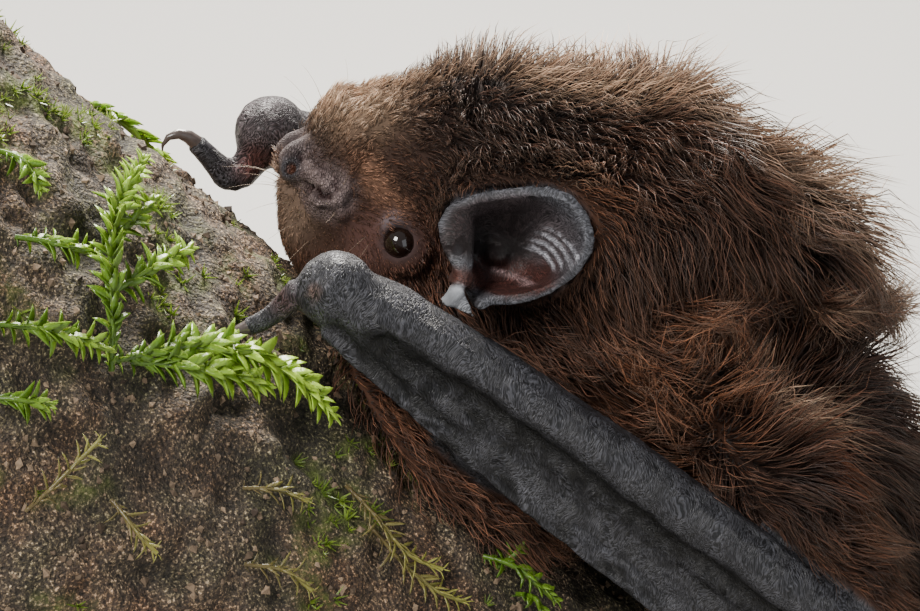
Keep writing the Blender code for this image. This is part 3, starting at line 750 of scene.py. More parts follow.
def paint_skin(form, owner, names, bare, settings, coat):
    """Colours and masks of the skin at each point."""
    points = form.points
    left = to_left(points)
    kind = np.array([name.rsplit("_", 1)[0] for name in names] + [""])[owner]
    place = ear_place(left)
    head = (left[:, 0] < 4.5) & (left[:, 2] > 6.4)
    own = (kind == "ear") | (kind == "tragus") & head | ear_front(points)
    ear = form.blurred(np.maximum(own * bare, ear_hollow(points)), 3)
    wing = np.clip(bare - ear, 0, 1)
    gland = np.maximum(near(left, GLAND, 2.2), 0.9 * near(left, (-12.2, -1.3, 5.4), 1.9))
    flush = np.maximum(near(left, (-7.2, -4.2, 5.6), 3.2), 0.8 * near(left, (-4.6, -5.0, 7.4), 3.4))
    dips = 0.6 * ripple(points, 0.60, 5) + 0.6 * ripple(points, 0.30, 6)
    lid = EYE_CENTRE + 0.40 * EYE_OUT + 1.0 * EAR_UP - 0.3 * EAR_BACK
    _, from_gaze = off_axis(left, EYE_CENTRE, EYE_OUT)
    depth, from_nostril = off_axis(left, NOSTRIL, NOSTRIL_OUT)
    nose = (np.abs(depth) < 1.1) * (from_nostril < 1.2)
    notch, inside = ear_colour(points, place, settings)
    before_lobe = along_line(place[:, :2], ((-4.5, -0.5), (-4.4, -1.7), (-3.6, -2.0)), 1.1)
    hidden = np.clip(1.6 * np.maximum(notch, before_lobe), 0, 1) * (1 - ear) * (np.abs(place[:, 2]) < 2.2)
    lobe = along_line(place[:, :2], ((-3.9, -2.85), (-3.1, -2.5), (-2.5, -3.2), (-2.2, -3.6)), 0.75)
    lobe = np.clip(2.5 * lobe, 0, 1) * step(np.abs(place[:, 2] - 0.3), 0.8, 0.5)
    pale = np.array((0.30, 0.31, 0.33)) * (1 + 0.35 * np.clip(ripple(points, 0.5, 41), -1, 1))[:, None]
    # painted shade: the lobe darkens towards its back end, away from the light
    pale *= (1 - 0.55 * step(place[:, 0], -3.2, -2.2))[:, None]
    tone = painted(
        0.45 * coat_colour(points, coat),
        (settings.flush, np.clip(flush, 0, 1)),
        # the muzzle, lighter than its own skin as painted sheen
        (settings.muzzle, np.clip(gland * 1.6, 0, 1)),
        ((0.050, 0.026, 0.025), np.clip(gland * 1.3, 0, 1) * step(dips, 0.35, -0.5)),  # painted shade in the gland's pits
        ((0.130, 0.100, 0.108), np.clip(1.6 * near(left, lid, 1.1), 0, 1)),  # upper lid
        ((0.034, 0.022, 0.022), step(from_gaze, 1.35, 1.05) * near(left, EYE_CENTRE, 2.6)),  # lids' edge
        ((0.075, 0.062, 0.066), 0.8 * near(left, (-12.8, -0.6, 5.8), 1.3)),  # tip of the nose
        ((0.085, 0.078, 0.086), nose * step(from_nostril, 0.75, 0.45)),  # nostril's rim
        ((0.120, 0.048, 0.030), nose * step(from_nostril, 0.38, 0.26)),  # inside the nostril
        (settings.wing, wing),
        ((0.045, 0.018, 0.016), 0.8 * near(left, (-11.2, -10.6, 1.4), 1.5) * wing),  # web of the thumb
        ((0.058, 0.043, 0.045), near(points, (-10.5, 9.8, 3.0), 4.5) * wing),  # right wrist
        ((0.090, 0.028, 0.022), 0.9 * near(points, (-10.2, 7.9, 1.6), 1.9) * wing),  # and its thumb's root
        ((0.075, 0.045, 0.035), near(left, (-10.9, -12.0, 3.1), 0.7)),  # scar on the wrist
        (inside, ear),
        ((0.085, 0.038, 0.030), hidden),  # skin in the notch behind the cheek
        (pale, lobe))
    return tone, ear, wing, gland


# ---------------------------------------------------------------- materials

class Field:
    """One output of a node. It can be added, multiplied and so on, which places the node for that."""

    def __init__(self, sheet, socket, vector=None):
        self.sheet = sheet
        self.socket = socket
        self.vector = socket.type in ("VECTOR", "RGBA") if vector is None else vector

    def __add__(self, other):
        return self.sheet.joined("ADD", self, other)

    def __radd__(self, other):
        return self.sheet.joined("ADD", other, self)

    def __sub__(self, other):
        return self.sheet.joined("SUBTRACT", self, other)

    def __rsub__(self, other):
        return self.sheet.joined("SUBTRACT", other, self)

    def __mul__(self, other):
        return self.sheet.joined("MULTIPLY", self, other)

    def __rmul__(self, other):
        return self.sheet.joined("MULTIPLY", other, self)

    def __truediv__(self, other):
        return self.sheet.joined("DIVIDE", self, other)

    def __rtruediv__(self, other):
        return self.sheet.joined("DIVIDE", other, self)


class Placed:
    """A node on a sheet, with its outputs as fields by name or number."""

    def __init__(self, sheet, node):
        self.sheet = sheet
        self.node = node

    def __getitem__(self, output):
        return Field(self.sheet, self.node.outputs[output])


class Sheet:
    """Adds nodes to a tree, in rows."""

    def __init__(self, tree):
        self.tree = tree
        tree.nodes.clear()

    def fill(self, socket, value):
        """Links a field to an input, or sets the input."""
        if isinstance(value, Field):
            self.tree.links.new(value.socket, socket)
        else:
            socket.default_value = value

    def add(self, kind, values=None, **settings):
        """Adds a node, sets it, and links or fills its inputs by name or number."""
        node = self.tree.nodes.new(kind)
        row, column = divmod(len(self.tree.nodes), 12)
        node.location = (220 * column, -260 * row)
        for name, value in settings.items():
            setattr(node, name, value)
        for key, value in (values or {}).items():
            self.fill(node.inputs[key], value)
        return Placed(self, node)

    def math(self, operation, *values):
        """A Math node's result."""
        return self.add("ShaderNodeMath", dict(enumerate(values)), operation=operation)[0]

    def vector(self, operation, *values):
        """A Vector Math node's result."""
        placed = self.add("ShaderNodeVectorMath", dict(enumerate(values)), operation=operation)
        return placed["Value" if operation in ("LENGTH", "DOT_PRODUCT") else "Vector"]

    def joined(self, operation, first, second):
        """Two numbers or vectors joined, or a vector times a number."""
        pair = (first, second)
        kinds = [value.vector if isinstance(value, Field) else isinstance(value, tuple) for value in pair]
        if operation == "MULTIPLY" and kinds == [True, False]:
            values = {0: first, "Scale": second}
            return self.add("ShaderNodeVectorMath", values, operation="SCALE")["Vector"]
        return self.vector(operation, first, second) if any(kinds) else self.math(operation, first, second)

    def mix(self, factor, first, second):
        """Two colours mixed."""
        placed = self.add("ShaderNodeMix", {0: factor}, data_type="RGBA")
        for socket, value in ((placed.node.inputs[6], first), (placed.node.inputs[7], second)):
            self.fill(socket, value if isinstance(value, Field) else (*value[:3], 1))
        return placed[2]

    def ramp(self, factor, *stops):
        """A colour ramp's result; each stop is a place and a grey or a colour."""
        placed = self.add("ShaderNodeValToRGB", {0: factor})
        elements = placed.node.color_ramp.elements
        while len(elements) < len(stops):
            elements.new(0.5)
        for element, (place, value) in zip(elements, stops):
            element.position = place
            element.color = (*value, 1) if isinstance(value, tuple) else (value, value, value, 1)
        return Field(self, placed.node.outputs[0], isinstance(stops[0][1], tuple))

    def noise(self, vector, scale, detail=4.0, rough=0.55):
        """A Noise texture's value."""
        values = {"Vector": vector, "Scale": scale, "Detail": detail, "Roughness": rough}
        return self.add("ShaderNodeTexNoise", values)["Fac"]

    def drift(self, vector, scale, detail=0.0):
        """A Noise texture as a vector that swings about zero."""
        values = {"Vector": vector, "Scale": scale, "Detail": detail}
        return self.add("ShaderNodeTexNoise", values)["Color"] - (0.5, 0.5, 0.5)

    def chance(self, seed, low=0.0, high=1.0):
        """A random number between two bounds, or a random vector where the bounds are vectors."""
        if isinstance(low, tuple):
            values = {0: low, 1: high, "Seed": seed}
            return self.add("FunctionNodeRandomValue", values, data_type="FLOAT_VECTOR")[0]
        return self.add("FunctionNodeRandomValue", {2: low, 3: high, "Seed": seed})[1]

    def axes(self, x, y=0.0, z=0.0):
        """A vector made of three numbers."""
        return self.add("ShaderNodeCombineXYZ", {0: x, 1: y, 2: z})[0]

    def finish(self, **values):
        """Sets or links the Principled BSDF's inputs, with underscores for the spaces in their names."""
        for name, value in values.items():
            self.fill(self.shader.node.inputs[name.replace("_", " ")], value)

    def bump(self, height, distance, strength=1.0):
        """A Bump node's normal."""
        values = {"Height": height, "Distance": distance, "Strength": strength}
        return self.add("ShaderNodeBump", values)["Normal"]

    def attribute(self, name, output="Fac"):
        """A named attribute of the piece."""
        return self.add("ShaderNodeAttribute", attribute_name=name)[output]

    def grained(self, place, size, tone, spread):
        """The uneven grain over a tone, with its scale per metre and its spread of light and dark."""
        tone = tone if isinstance(tone, Field) else (*tone, 1)
        return self.group(grain_group(), {"Vector": place, "Size": size, "Colour": tone, "Spread": spread})

    def group(self, tree, values):
        """A node group with its values."""
        placed = self.add("ShaderNodeGroup")
        placed.node.node_tree = tree
        for key, value in values.items():
            self.fill(placed.node.inputs[key], value)
        return placed


def shader_group(name, inputs, outputs):
    """A new shader node group with its sockets: the sheet and the input node to build it with."""
    tree = bpy.data.node_groups.new(name, "ShaderNodeTree")
    for label, kind, default in inputs:
        socket = tree.interface.new_socket(label, in_out="INPUT", socket_type=f"NodeSocket{kind}")
        if default is not None:
            socket.default_value = default
    for label, kind in outputs:
        tree.interface.new_socket(label, in_out="OUTPUT", socket_type=f"NodeSocket{kind}")
    sheet = Sheet(tree)
    return sheet, sheet.add("NodeGroupInput")


def grain_group():
    """Uneven colour and fine height, shared by the skin, bark, horn and wood."""
    if "Uneven grain" in bpy.data.node_groups:
        return bpy.data.node_groups["Uneven grain"]
    inputs = (("Vector", "Vector", None), ("Size", "Float", 1000.0), ("Colour", "Color", (1, 1, 1, 1)),
              ("Spread", "Float", 0.3))
    sheet, given = shader_group("Uneven grain", inputs, (("Colour", "Color"), ("Height", "Float")))
    broad = sheet.noise(given["Vector"], given["Size"])
    fine = sheet.noise(given["Vector"], given["Size"] * 5.0)
    shade = broad * 0.65 + fine * 0.35
    factor = (shade - 0.5) * given["Spread"] + 1.0
    sheet.add("NodeGroupOutput", {"Colour": given["Colour"] * factor, "Height": shade})
    return sheet.tree


def new_material(name):
    """A material, and its sheet with Object coordinates and a Principled BSDF joined to the output."""
    made = bpy.data.materials.new(name)
    made.use_nodes = True
    sheet = Sheet(made.node_tree)
    sheet.shader = sheet.add("ShaderNodeBsdfPrincipled")
    sheet.add("ShaderNodeOutputMaterial", {"Surface": sheet.shader[0]})
    sheet.place = sheet.add("ShaderNodeTexCoord")["Object"]
    return made, sheet


def crease_group():
    """Fine wrinkles that run across a limb or rim and swing about as they go, and small cells for warts."""
    inputs = (("Lay", "Vector", None), ("Spacing", "Float", 0.000060), ("Swing", "Float", 0.0014))
    sheet, given = shader_group("Fine creases", inputs, (("Wrinkles", "Float"), ("Cells", "Float")))
    bent = given["Lay"]
    for size, reach in ((given["Swing"], 1.3), (given["Spacing"] * 4.0, 0.5)):
        drift = sheet.drift(given["Lay"], 1.0 / size)
        bent = bent + drift * (size * reach)
    part = sheet.add("ShaderNodeSeparateXYZ", {0: bent})
    wide = given["Spacing"] * 3.6
    streaks = sheet.axes(part["X"] / given["Spacing"], part["Y"] / wide, part["Z"] / wide)
    wrinkles = sheet.add("ShaderNodeTexNoise", {"Vector": streaks, "Scale": 1.0, "Detail": 1.0})["Fac"]
    cells = sheet.add("ShaderNodeTexVoronoi", {"Vector": given["Lay"], "Scale": 0.34 / given["Spacing"]},
                      feature="DISTANCE_TO_EDGE")[0]
    sheet.add("NodeGroupOutput", {"Wrinkles": sheet.ramp(wrinkles, (0.38, 0.0), (0.64, 1.0)),
                                  "Cells": sheet.math("MINIMUM", cells * 4.0, 1.0)})
    return sheet.tree


def skin_material():
    """Bare skin and the skin under the coat: fine wrinkles on wings and ears, warts on the muzzle."""
    made, sheet = new_material("bat_skin")
    tone = sheet.attribute("tone", "Color")
    lay = sheet.attribute("lay", "Vector")
    wing, ear, gland, bare = (sheet.attribute(name) for name in ("wing", "ear", "gland", "bare"))
    grain = sheet.grained(sheet.place, 900.0, tone, 1.2)
    creases = sheet.group(crease_group(), {"Lay": lay})
    lines = creases["Wrinkles"] * (wing * 0.85 + ear * 0.40)
    warts = gland * (creases["Cells"] + sheet.noise(sheet.place, 5200.0, 2.0, 0.7))
    worked = lines + warts * 6.0 + grain["Height"] * 0.4
    # painted light and shade: on wings and ears the colour is lighter where the wrinkles rise, darker between
    shaded = grain["Colour"] * (0.20 + creases["Wrinkles"] * 2.1)
    lit = sheet.mix(sheet.math("MAXIMUM", wing, ear * 0.7), grain["Colour"], shaded)
    shine = sheet.math("MAXIMUM", gland, bare) - ear * 0.25
    rough = 0.88 - shine * (0.44 + gland * 0.26)
    sheet.finish(Base_Color=lit, Roughness=rough, Normal=sheet.bump(worked, 0.00006, 0.9),
                 Specular_IOR_Level=0.40)
    return made


def coat_material():
    """Hair: dark at the root, the coat's own colour above, and pale tips from wear and painted rim light."""
    made, sheet = new_material("bat_coat")
    settings = bpy.context.scene.bat_coat
    tone = sheet.attribute("tone", "Color")
    along = sheet.attribute("along")
    shade = sheet.attribute("shade")
    body = tone * (0.45 + shade * shade * 1.9)
    rooted = sheet.mix(sheet.ramp(along, (0.10, 0.0), (0.62, 1.0)), settings.root, body)
    # pale tips: a little everywhere from wear, and painted rim light along the top line
    ends = sheet.ramp(along, (0.66, 0.0), (0.98, 1.0)) * sheet.attribute("tips")
    worn_and_rim_lit = sheet.mix(ends, rooted, settings.tip)
    sheet.finish(Base_Color=worn_and_rim_lit, Roughness=0.47, Specular_IOR_Level=0.38, Sheen_Weight=0.04,
                 Sheen_Roughness=0.4)
    return made


# ---------------------------------------------------------------- the coat

def geometry_tree(name, inputs):
    """A new geometry node tree with a geometry socket and named number inputs."""
    tree = bpy.data.node_groups.new(name, "GeometryNodeTree")
    tree.interface.new_socket("Geometry", in_out="INPUT", socket_type="NodeSocketGeometry")
    for label, kind in inputs:
        tree.interface.new_socket(label, in_out="INPUT", socket_type=f"NodeSocket{kind}")
    tree.interface.new_socket("Geometry", in_out="OUTPUT", socket_type="NodeSocketGeometry")
    sheet = Sheet(tree)
    return sheet, sheet.add("NodeGroupInput")


def end_tree(sheet, geometry, material):
    """Realizes a tree's instances, gives them their material and ends the tree."""
    realized = sheet.add("GeometryNodeRealizeInstances", {0: geometry})[0]
    painted = sheet.add("GeometryNodeSetMaterial", {"Geometry": realized, "Material": material})[0]
    sheet.add("NodeGroupOutput", {0: painted})


def stored(sheet, geometry, name, value, kind="FLOAT", domain="POINT"):
    """The geometry with a field stored on it."""
    values = {"Geometry": geometry, "Name": name, "Value": value}
    return sheet.add("GeometryNodeStoreNamedAttribute", values, data_type=kind, domain=domain)[0]


def named(sheet, name, kind="FLOAT"):
    """A stored field."""
    return sheet.add("GeometryNodeInputNamedAttribute", {"Name": name}, data_type=kind)[0]


def without(sheet, geometry, *names):
    """The geometry with the named fields dropped."""
    for name in names:
        geometry = sheet.add("GeometryNodeRemoveAttribute", {"Geometry": geometry, "Name": name})[0]
    return geometry


def set_inputs(modifier, values):
    """Sets a Geometry Nodes modifier's inputs by their names in the tree."""
    for item in modifier.node_group.interface.items_tree:
        if item.in_out == "INPUT" and item.name in values:
            modifier[item.identifier] = values[item.name]


def grown_piece(name, base, tree, values):
    """A plain mesh object made by a Geometry Nodes tree over a base mesh."""
    source = add_object(name, base)
    grow = source.modifiers.new("Grow", "NODES")
    grow.node_group = tree
    set_inputs(grow, values)
    piece = add_object(name, applied(source))
    piece.name = name
    return piece


def coat_tree():
    """Tufts over a mesh: closed, three-sided, tapered, gathered into locks and bent along the comb."""
    inputs = (("Density", "Float"), ("Lock size", "Float"), ("Segments", "Int"), ("Seed", "Int"))
    sheet, given = geometry_tree("Coat tufts", inputs)
    density = given["Density"] * named(sheet, "share")
    sown = sheet.add("GeometryNodeDistributePointsOnFaces",
                     {"Mesh": given["Geometry"], "Density": density, "Seed": given["Seed"]})
    place = sheet.add("GeometryNodeInputPosition")[0]
    lock_density = 1.0 / (given["Lock size"] * given["Lock size"])
    locks = sheet.add("GeometryNodeDistributePointsOnFaces",
                      {"Mesh": given["Geometry"], "Density": lock_density, "Seed": given["Seed"] + 7})
    nearest_lock = sheet.add("GeometryNodeSampleNearest", {"Geometry": locks["Points"],
                                                           "Sample Position": place})
    middle = sheet.add("GeometryNodeSampleIndex",
                       {"Geometry": locks["Points"], "Value": place, "Index": nearest_lock[0]},
                       data_type="FLOAT_VECTOR")[0]
    points = stored(sheet, sown["Points"], "root", place, "FLOAT_VECTOR")
    points = stored(sheet, points, "rise", sown["Normal"], "FLOAT_VECTOR")
    points = stored(sheet, points, "lock", middle, "FLOAT_VECTOR")
    for k, name in enumerate(("shade", "reach", "stray")):
        points = stored(sheet, points, name, sheet.chance(given["Seed"] + (k + 11)))
    cone = sheet.add("GeometryNodeMeshCone", {"Vertices": 3, "Side Segments": given["Segments"],
                                              "Fill Segments": 1, "Radius Top": 0.0, "Radius Bottom": 1.0,
                                              "Depth": 1.0}, fill_type="NGON")
    height = sheet.add("ShaderNodeSeparateXYZ", {0: place})["Z"]
    hair = stored(sheet, cone["Mesh"], "along", height)
    flat = place * (1.0, 1.0, 0.0)
    hair = stored(sheet, hair, "round", sheet.vector("NORMALIZE", flat), "FLOAT_VECTOR")
    placed = sheet.add("GeometryNodeInstanceOnPoints", {"Points": points, "Instance": hair})[0]
    tufts = sheet.add("GeometryNodeRealizeInstances", {0: placed})[0]

    along, reach, stray = (named(sheet, name) for name in ("along", "reach", "stray"))
    root, rise, comb, lock = (named(sheet, name, "FLOAT_VECTOR") for name in ("root", "rise", "comb", "lock"))
    long = named(sheet, "hair_length") * (0.62 + reach * 0.55)
    swirl = sheet.drift(root, 330.0, 1.0)
    own = sheet.drift(root, 2900.0)
    # the comb, with a wide swirl and a small one that differs from tuft to tuft
    way = comb + (swirl * 1.8 + own * 1.4)
    inward = rise * sheet.vector("DOT_PRODUCT", way, rise)
    way = sheet.vector("NORMALIZE", way - inward)
    squared = along * along
    lift = named(sheet, "lift") * (0.75 + stray * 0.5)
    up = along - squared * 0.42
    forward = along * 0.55 + squared * 0.35
    bend = way * forward + rise * (up * lift)
    centre = bend * long
    # the tip is drawn half of the way, and at most 0.45 mm, to the middle of its lock
    gather = lock - root
    gather = gather * sheet.math("MINIMUM", 1.0, 0.0009 / sheet.vector("LENGTH", gather))
    pull = gather * (squared * 0.50)
    # and it waves by at most 1.2 mm
    wave = sheet.drift(lock + bend * 0.003, 420.0)
    wave = wave * (long * named(sheet, "curl"))
    wave = wave * sheet.math("MINIMUM", 1.0, 0.0012 / sheet.vector("LENGTH", wave))
    curl = wave * squared
    centre = root + centre + (pull + curl)
    centre = centre - rise * 0.00012
    slope = lift * (1.0 - along * 0.84)
    tangent = sheet.vector("NORMALIZE", way + rise * slope)
    side = sheet.vector("NORMALIZE", sheet.vector("CROSS_PRODUCT", rise, way))
    third = sheet.vector("CROSS_PRODUCT", tangent, side)
    taper = sheet.math("POWER", 1.0 - along * 0.999, 0.55)
    width = named(sheet, "hair_width") * (0.55 + stray * 0.6)
    width = width * taper
    turned = sheet.add("ShaderNodeSeparateXYZ", {0: named(sheet, "round", "FLOAT_VECTOR")})
    edge = side * (turned["X"] * width) + third * (turned["Y"] * width)
    tufts = sheet.add("GeometryNodeSetPosition", {"Geometry": tufts, "Position": centre + edge})[0]
    patch = sheet.axes(turned["X"] * 0.0015, (along - 0.5) * 0.003)  # a small patch of the map each
    spot = named(sheet, "scalp_map", "FLOAT_VECTOR") + patch
    tufts = stored(sheet, tufts, "OFBake", spot, "FLOAT2", "CORNER")
    tufts = without(sheet, tufts, "root", "rise", "lock", "reach", "stray", "round", "comb", "hair_length",
                    "lift", "hair_width", "curl", "share", "scalp_map")
    tufts = sheet.add("GeometryNodeSetShadeSmooth", {"Geometry": tufts})[0]
    end_tree(sheet, tufts, coat_material())
    return sheet.tree


def comb_field(points, normals):
    """The lie of the coat: away from the nose, down the crown and back, and up and over the shoulder."""
    side = np.where(points[:, 1:2] > 0, (1, -1, 1), (1, 1, 1))
    left = points * side
    across, up = left @ EAR_BACK, left @ EAR_UP
    # in degrees, from the ear's way back towards its way up
    turn = np.interp(across, (8.5, 12.8, 16.2, 20.5, 24.0), (-20, 15, 40, 66, 50))
    turn += (np.interp(across, (12.0, 22.0), (-84, -60)) - turn) * step(up, -0.5, 6.0)
    turn += (-34 - turn) * np.maximum(step(up, -3.5, -8.0), step(points[:, 2], 5.0, 1.5))
    turn += (-42 - turn) * step(points[:, 0], 16.0, 24.0)
    turn = np.radians(turn)[:, None]
    way = np.cos(turn) * EAR_BACK + np.sin(turn) * EAR_UP
    away = unit(left - NOSE)
    from_nose = np.linalg.norm(points - NOSE, axis=1)
    face = step(from_nose, 9.0, 6.5)[:, None]
    way = (way * (1 - face) + away * face) * side
    way[:, 1] *= step(np.abs(points[:, 1]), 0.0, 2.0)
    way -= normals * (way * normals).sum(1)[:, None]
    return unit(way)


ZONES = ("face", "crown", "nape", "shoulder_left", "shoulder_right", "back_left", "back_right", "throat",
         "chest", "rump")
CROWDING = {"face": 1.52, "chest": 0.80, "rump": 0.69}  # tufts for the area, against the rest of the coat


def painted_rim_light(left, normals):
    """Where the coat gets painted rim light: along the middle of the forehead, crown and back."""
    ridge = step(normals @ unit((-0.40, 0.12, 0.90)), 0.82, 0.97)
    ridge *= step(left[:, 0], 22.0, 12.0) * (left[:, 2] > 6)
    back = 0.6 * step(np.abs(left[:, 1]), 2.4, 0.9) * step(left[:, 0], 0.0, 5.0)
    back *= step(left[:, 0], 24.0, 15.0) * (left[:, 2] > 14)
    return np.maximum(np.maximum(ridge, back), 0.9 * near(left, (-12.6, 0.4, 10.0), 4.6))


def zone_of(points):
    """The coat piece that each place belongs to."""
    x, y, z = points.T
    zone = np.full(len(points), ZONES.index("rump"))
    zone[x < 24] = ZONES.index("back_left")
    zone[(x < 24) & (y > 0)] = ZONES.index("back_right")
    zone[x < 11] = ZONES.index("shoulder_left")
    zone[(x < 11) & (y > 0)] = ZONES.index("shoulder_right")
    zone[x < 2.5] = ZONES.index("nape")
    zone[(z < 3.5) & (x > 2.5)] = ZONES.index("chest")
    zone[(z < 5.0) & (x <= 2.5)] = ZONES.index("throat")
    zone[(x < -2.5) & (z >= 9)] = ZONES.index("crown")
    zone[(x < -4.0) & (z < 9)] = ZONES.index("face")
    return zone


CHEEKS = (((-6.0, -4.6, 5.8), 4.2), ((-4.2, -5.6, 7.4), 3.0), ((-9.5, -3.0, 4.0), 3.0))  # short-haired places


def build_scalp(form, bare):
    """The part of the skin that carries coat, with the fields that its tufts follow."""
    keep = bare < 0.5
    bm = bmesh.new()
    bm.from_mesh(form.mesh)
    bm.verts.ensure_lookup_table()
    bmesh.ops.delete(bm, geom=[bm.verts[i] for i in np.flatnonzero(~keep)], context="VERTS")
    mesh = thinned(mesh_from(bm, "scalp"), 26000)
    scalp = Form(mesh)
    points, normals = scalp.points, scalp.normals()
    settings = bpy.context.scene.bat_coat
    distance, _, _ = nearest(BARE, points, 8.0)
    depth = np.minimum(coat_depth(points), 0.35 + 0.75 * np.minimum(distance, 9.0))
    from_nose = np.linalg.norm(points - NOSE, axis=1)
    # hairs are longest where the coat is deep, and shorter on crown, cheeks and face and in the hollow
    size = 0.12 + 0.88 * np.clip(depth / 3.3, 0, 1)
    left = to_left(points)
    crown = step(points[:, 0], 4.0, -3.0) * step(points[:, 2], 7.0, 11.0)
    cheek = np.clip(sum(near(left, middle, radius) for middle, radius in CHEEKS), 0, 1)
    hollow = np.clip(2.0 * near(left, HOLLOW, 6.5), 0, 1)
    tuft = near(left, (-12.6, 0.4, 9.6), 3.6)
    fine = step(from_nose, 11.0, 7.0) * (1 - tuft)
    reach = size * (1 - 0.32 * crown) * (1 - 0.62 * cheek) * (1 - 0.6 * hollow) * (1 - 0.36 * fine)
    reach *= 1 + 0.9 * tuft
    # they rise as far as the coat's depth asks of their length
    lift = np.clip(depth / (0.52 * 1000 * settings.hair_length * reach), 0.25, 2.4)
    lift = lift * (1 - 0.45 * cheek) * (1 - 0.2 * step(points[:, 0], 6.0, 12.0)) * (1 - 0.4 * hollow)
    # none grow on the gland, lids, nostrils and tip of the nose, in the ears and in the notch beside them
    bald = np.maximum(near(left, (-10.5, -2.6, 5.4), 2.5), near(left, (-6.3, -4.9, 6.4), 1.65))
    bald = np.maximum(bald, np.maximum(near(left, NOSTRIL, 1.7), near(left, (-12.9, -0.5, 5.8), 1.6)))
    place = ear_place(left)
    flat, level = place[:, :2], np.abs(place[:, 2])
    in_ear = step(np.hypot(place[:, 0] / 3.7, place[:, 1] / 2.9), 1.02, 0.92)
    in_ear = in_ear * (level < 3.2) * (points[:, 2] > 7)
    notch = np.maximum(along_line(flat, ((-3.6, -1.8), (-2.9, -2.7), (-2.2, -3.3)), 1.1),
                       along_line(flat, ((-4.5, -0.5), (-4.4, -1.6), (-3.6, -2.0)), 0.95))
    bald = np.maximum(np.maximum(bald, in_ear), notch * (level < 2.2))
    top = painted_rim_light(left, normals * np.where(points[:, 1:2] > 0, (1, -1, 1), (1, 1, 1)))
    share = (1 + 1.6 * step(from_nose, 12.0, 4.0) + 0.5 * fine) * (1 - step(bald, 0.15, 0.4))
    width = settings.thickness * (0.45 + 0.55 * size) * (1 - 0.25 * fine)
    # the tips are a little pale everywhere from wear, and much paler along the top line as painted rim light
    fields = {"hair_length": settings.hair_length * reach, "lift": lift, "hair_width": width,
              "curl": 0.35 + 1.3 * step(points[:, 0], -2.0, 6.0), "share": share,
              "tips": np.clip(0.12 + 0.88 * top, 0, 0.97) * (1 - hollow)}
    for name, values in fields.items():
        put(mesh, name, "FLOAT", values)
    put(mesh, "comb", "FLOAT_VECTOR", comb_field(points, normals) @ TURN.T)
    # painted rim light: a pale tan over the coat's tone along the top line
    tone = painted(coat_colour(points, settings), ((0.40, 0.26, 0.17), 0.8 * top))
    put(mesh, "tone", "FLOAT_COLOR", tone)
    return mesh


class BAT_OT_stage(bpy.types.Operator):
    """Makes the pale floor, the soft studio lights and the camera"""
    bl_idname = "bat_figure.stage"
    bl_label = "Stage"

    def execute(self, context):
        settings = context.scene.bat_stage
        bm = bmesh.new()
        bmesh.ops.create_grid(bm, x_segments=1, y_segments=1, size=settings.floor_size / 2)
        floor = add_object("floor", mesh_from(bm, "floor"))
        made, sheet = new_material("floor")
        sheet.finish(Base_Color=(*settings.floor_colour, 1), Roughness=0.8, Specular_IOR_Level=0.2)
        floor.data.materials.append(made)
        middle = Vector((0.005, -0.005, 0.105))  # of the bat, which the lamps face
        for name, power, size, spot, tint in (
                ("key", settings.key_power, 0.16, (-0.22, -0.20, 0.42), (1.0, 0.97, 0.93)),
                ("rim", settings.rim_power, 0.20, (0.05, 0.34, 0.42), (1.0, 0.95, 0.88)),
                ("fill", settings.fill_power, 0.50, (0.32, -0.52, 0.30), (0.90, 0.95, 1.0))):
            lamp = bpy.data.lights.new(name, "AREA")
            lamp.energy = power
            lamp.size = size
            lamp.color = tint
            light = bpy.data.objects.new(name, lamp)
            light.location = spot
            light.rotation_euler = (middle - Vector(spot)).to_track_quat("-Z", "Y").to_euler()
            context.scene.collection.objects.link(light)
        world = bpy.data.worlds.new("studio")
        world.use_nodes = True
        world.node_tree.nodes["Background"].inputs["Color"].default_value = (0.80, 0.82, 0.85, 1)
        world.node_tree.nodes["Background"].inputs["Strength"].default_value = 0.35
        context.scene.world = world
        camera = bpy.data.objects.new("camera", bpy.data.cameras.new("camera"))
        camera.data.lens = 152.0
        camera.data.sensor_width = 36.0
        camera.data.clip_start = 0.01
        camera.data.clip_end = 20.0
        camera.location = (-0.0271, -0.1922, 0.2007)
        target = Vector((0.00565, -0.00632, 0.10866))
        camera.rotation_euler = (target - camera.location).to_track_quat("-Z", "Y").to_euler()
        context.scene.collection.objects.link(camera)
        context.scene.camera = camera
        return {"FINISHED"}


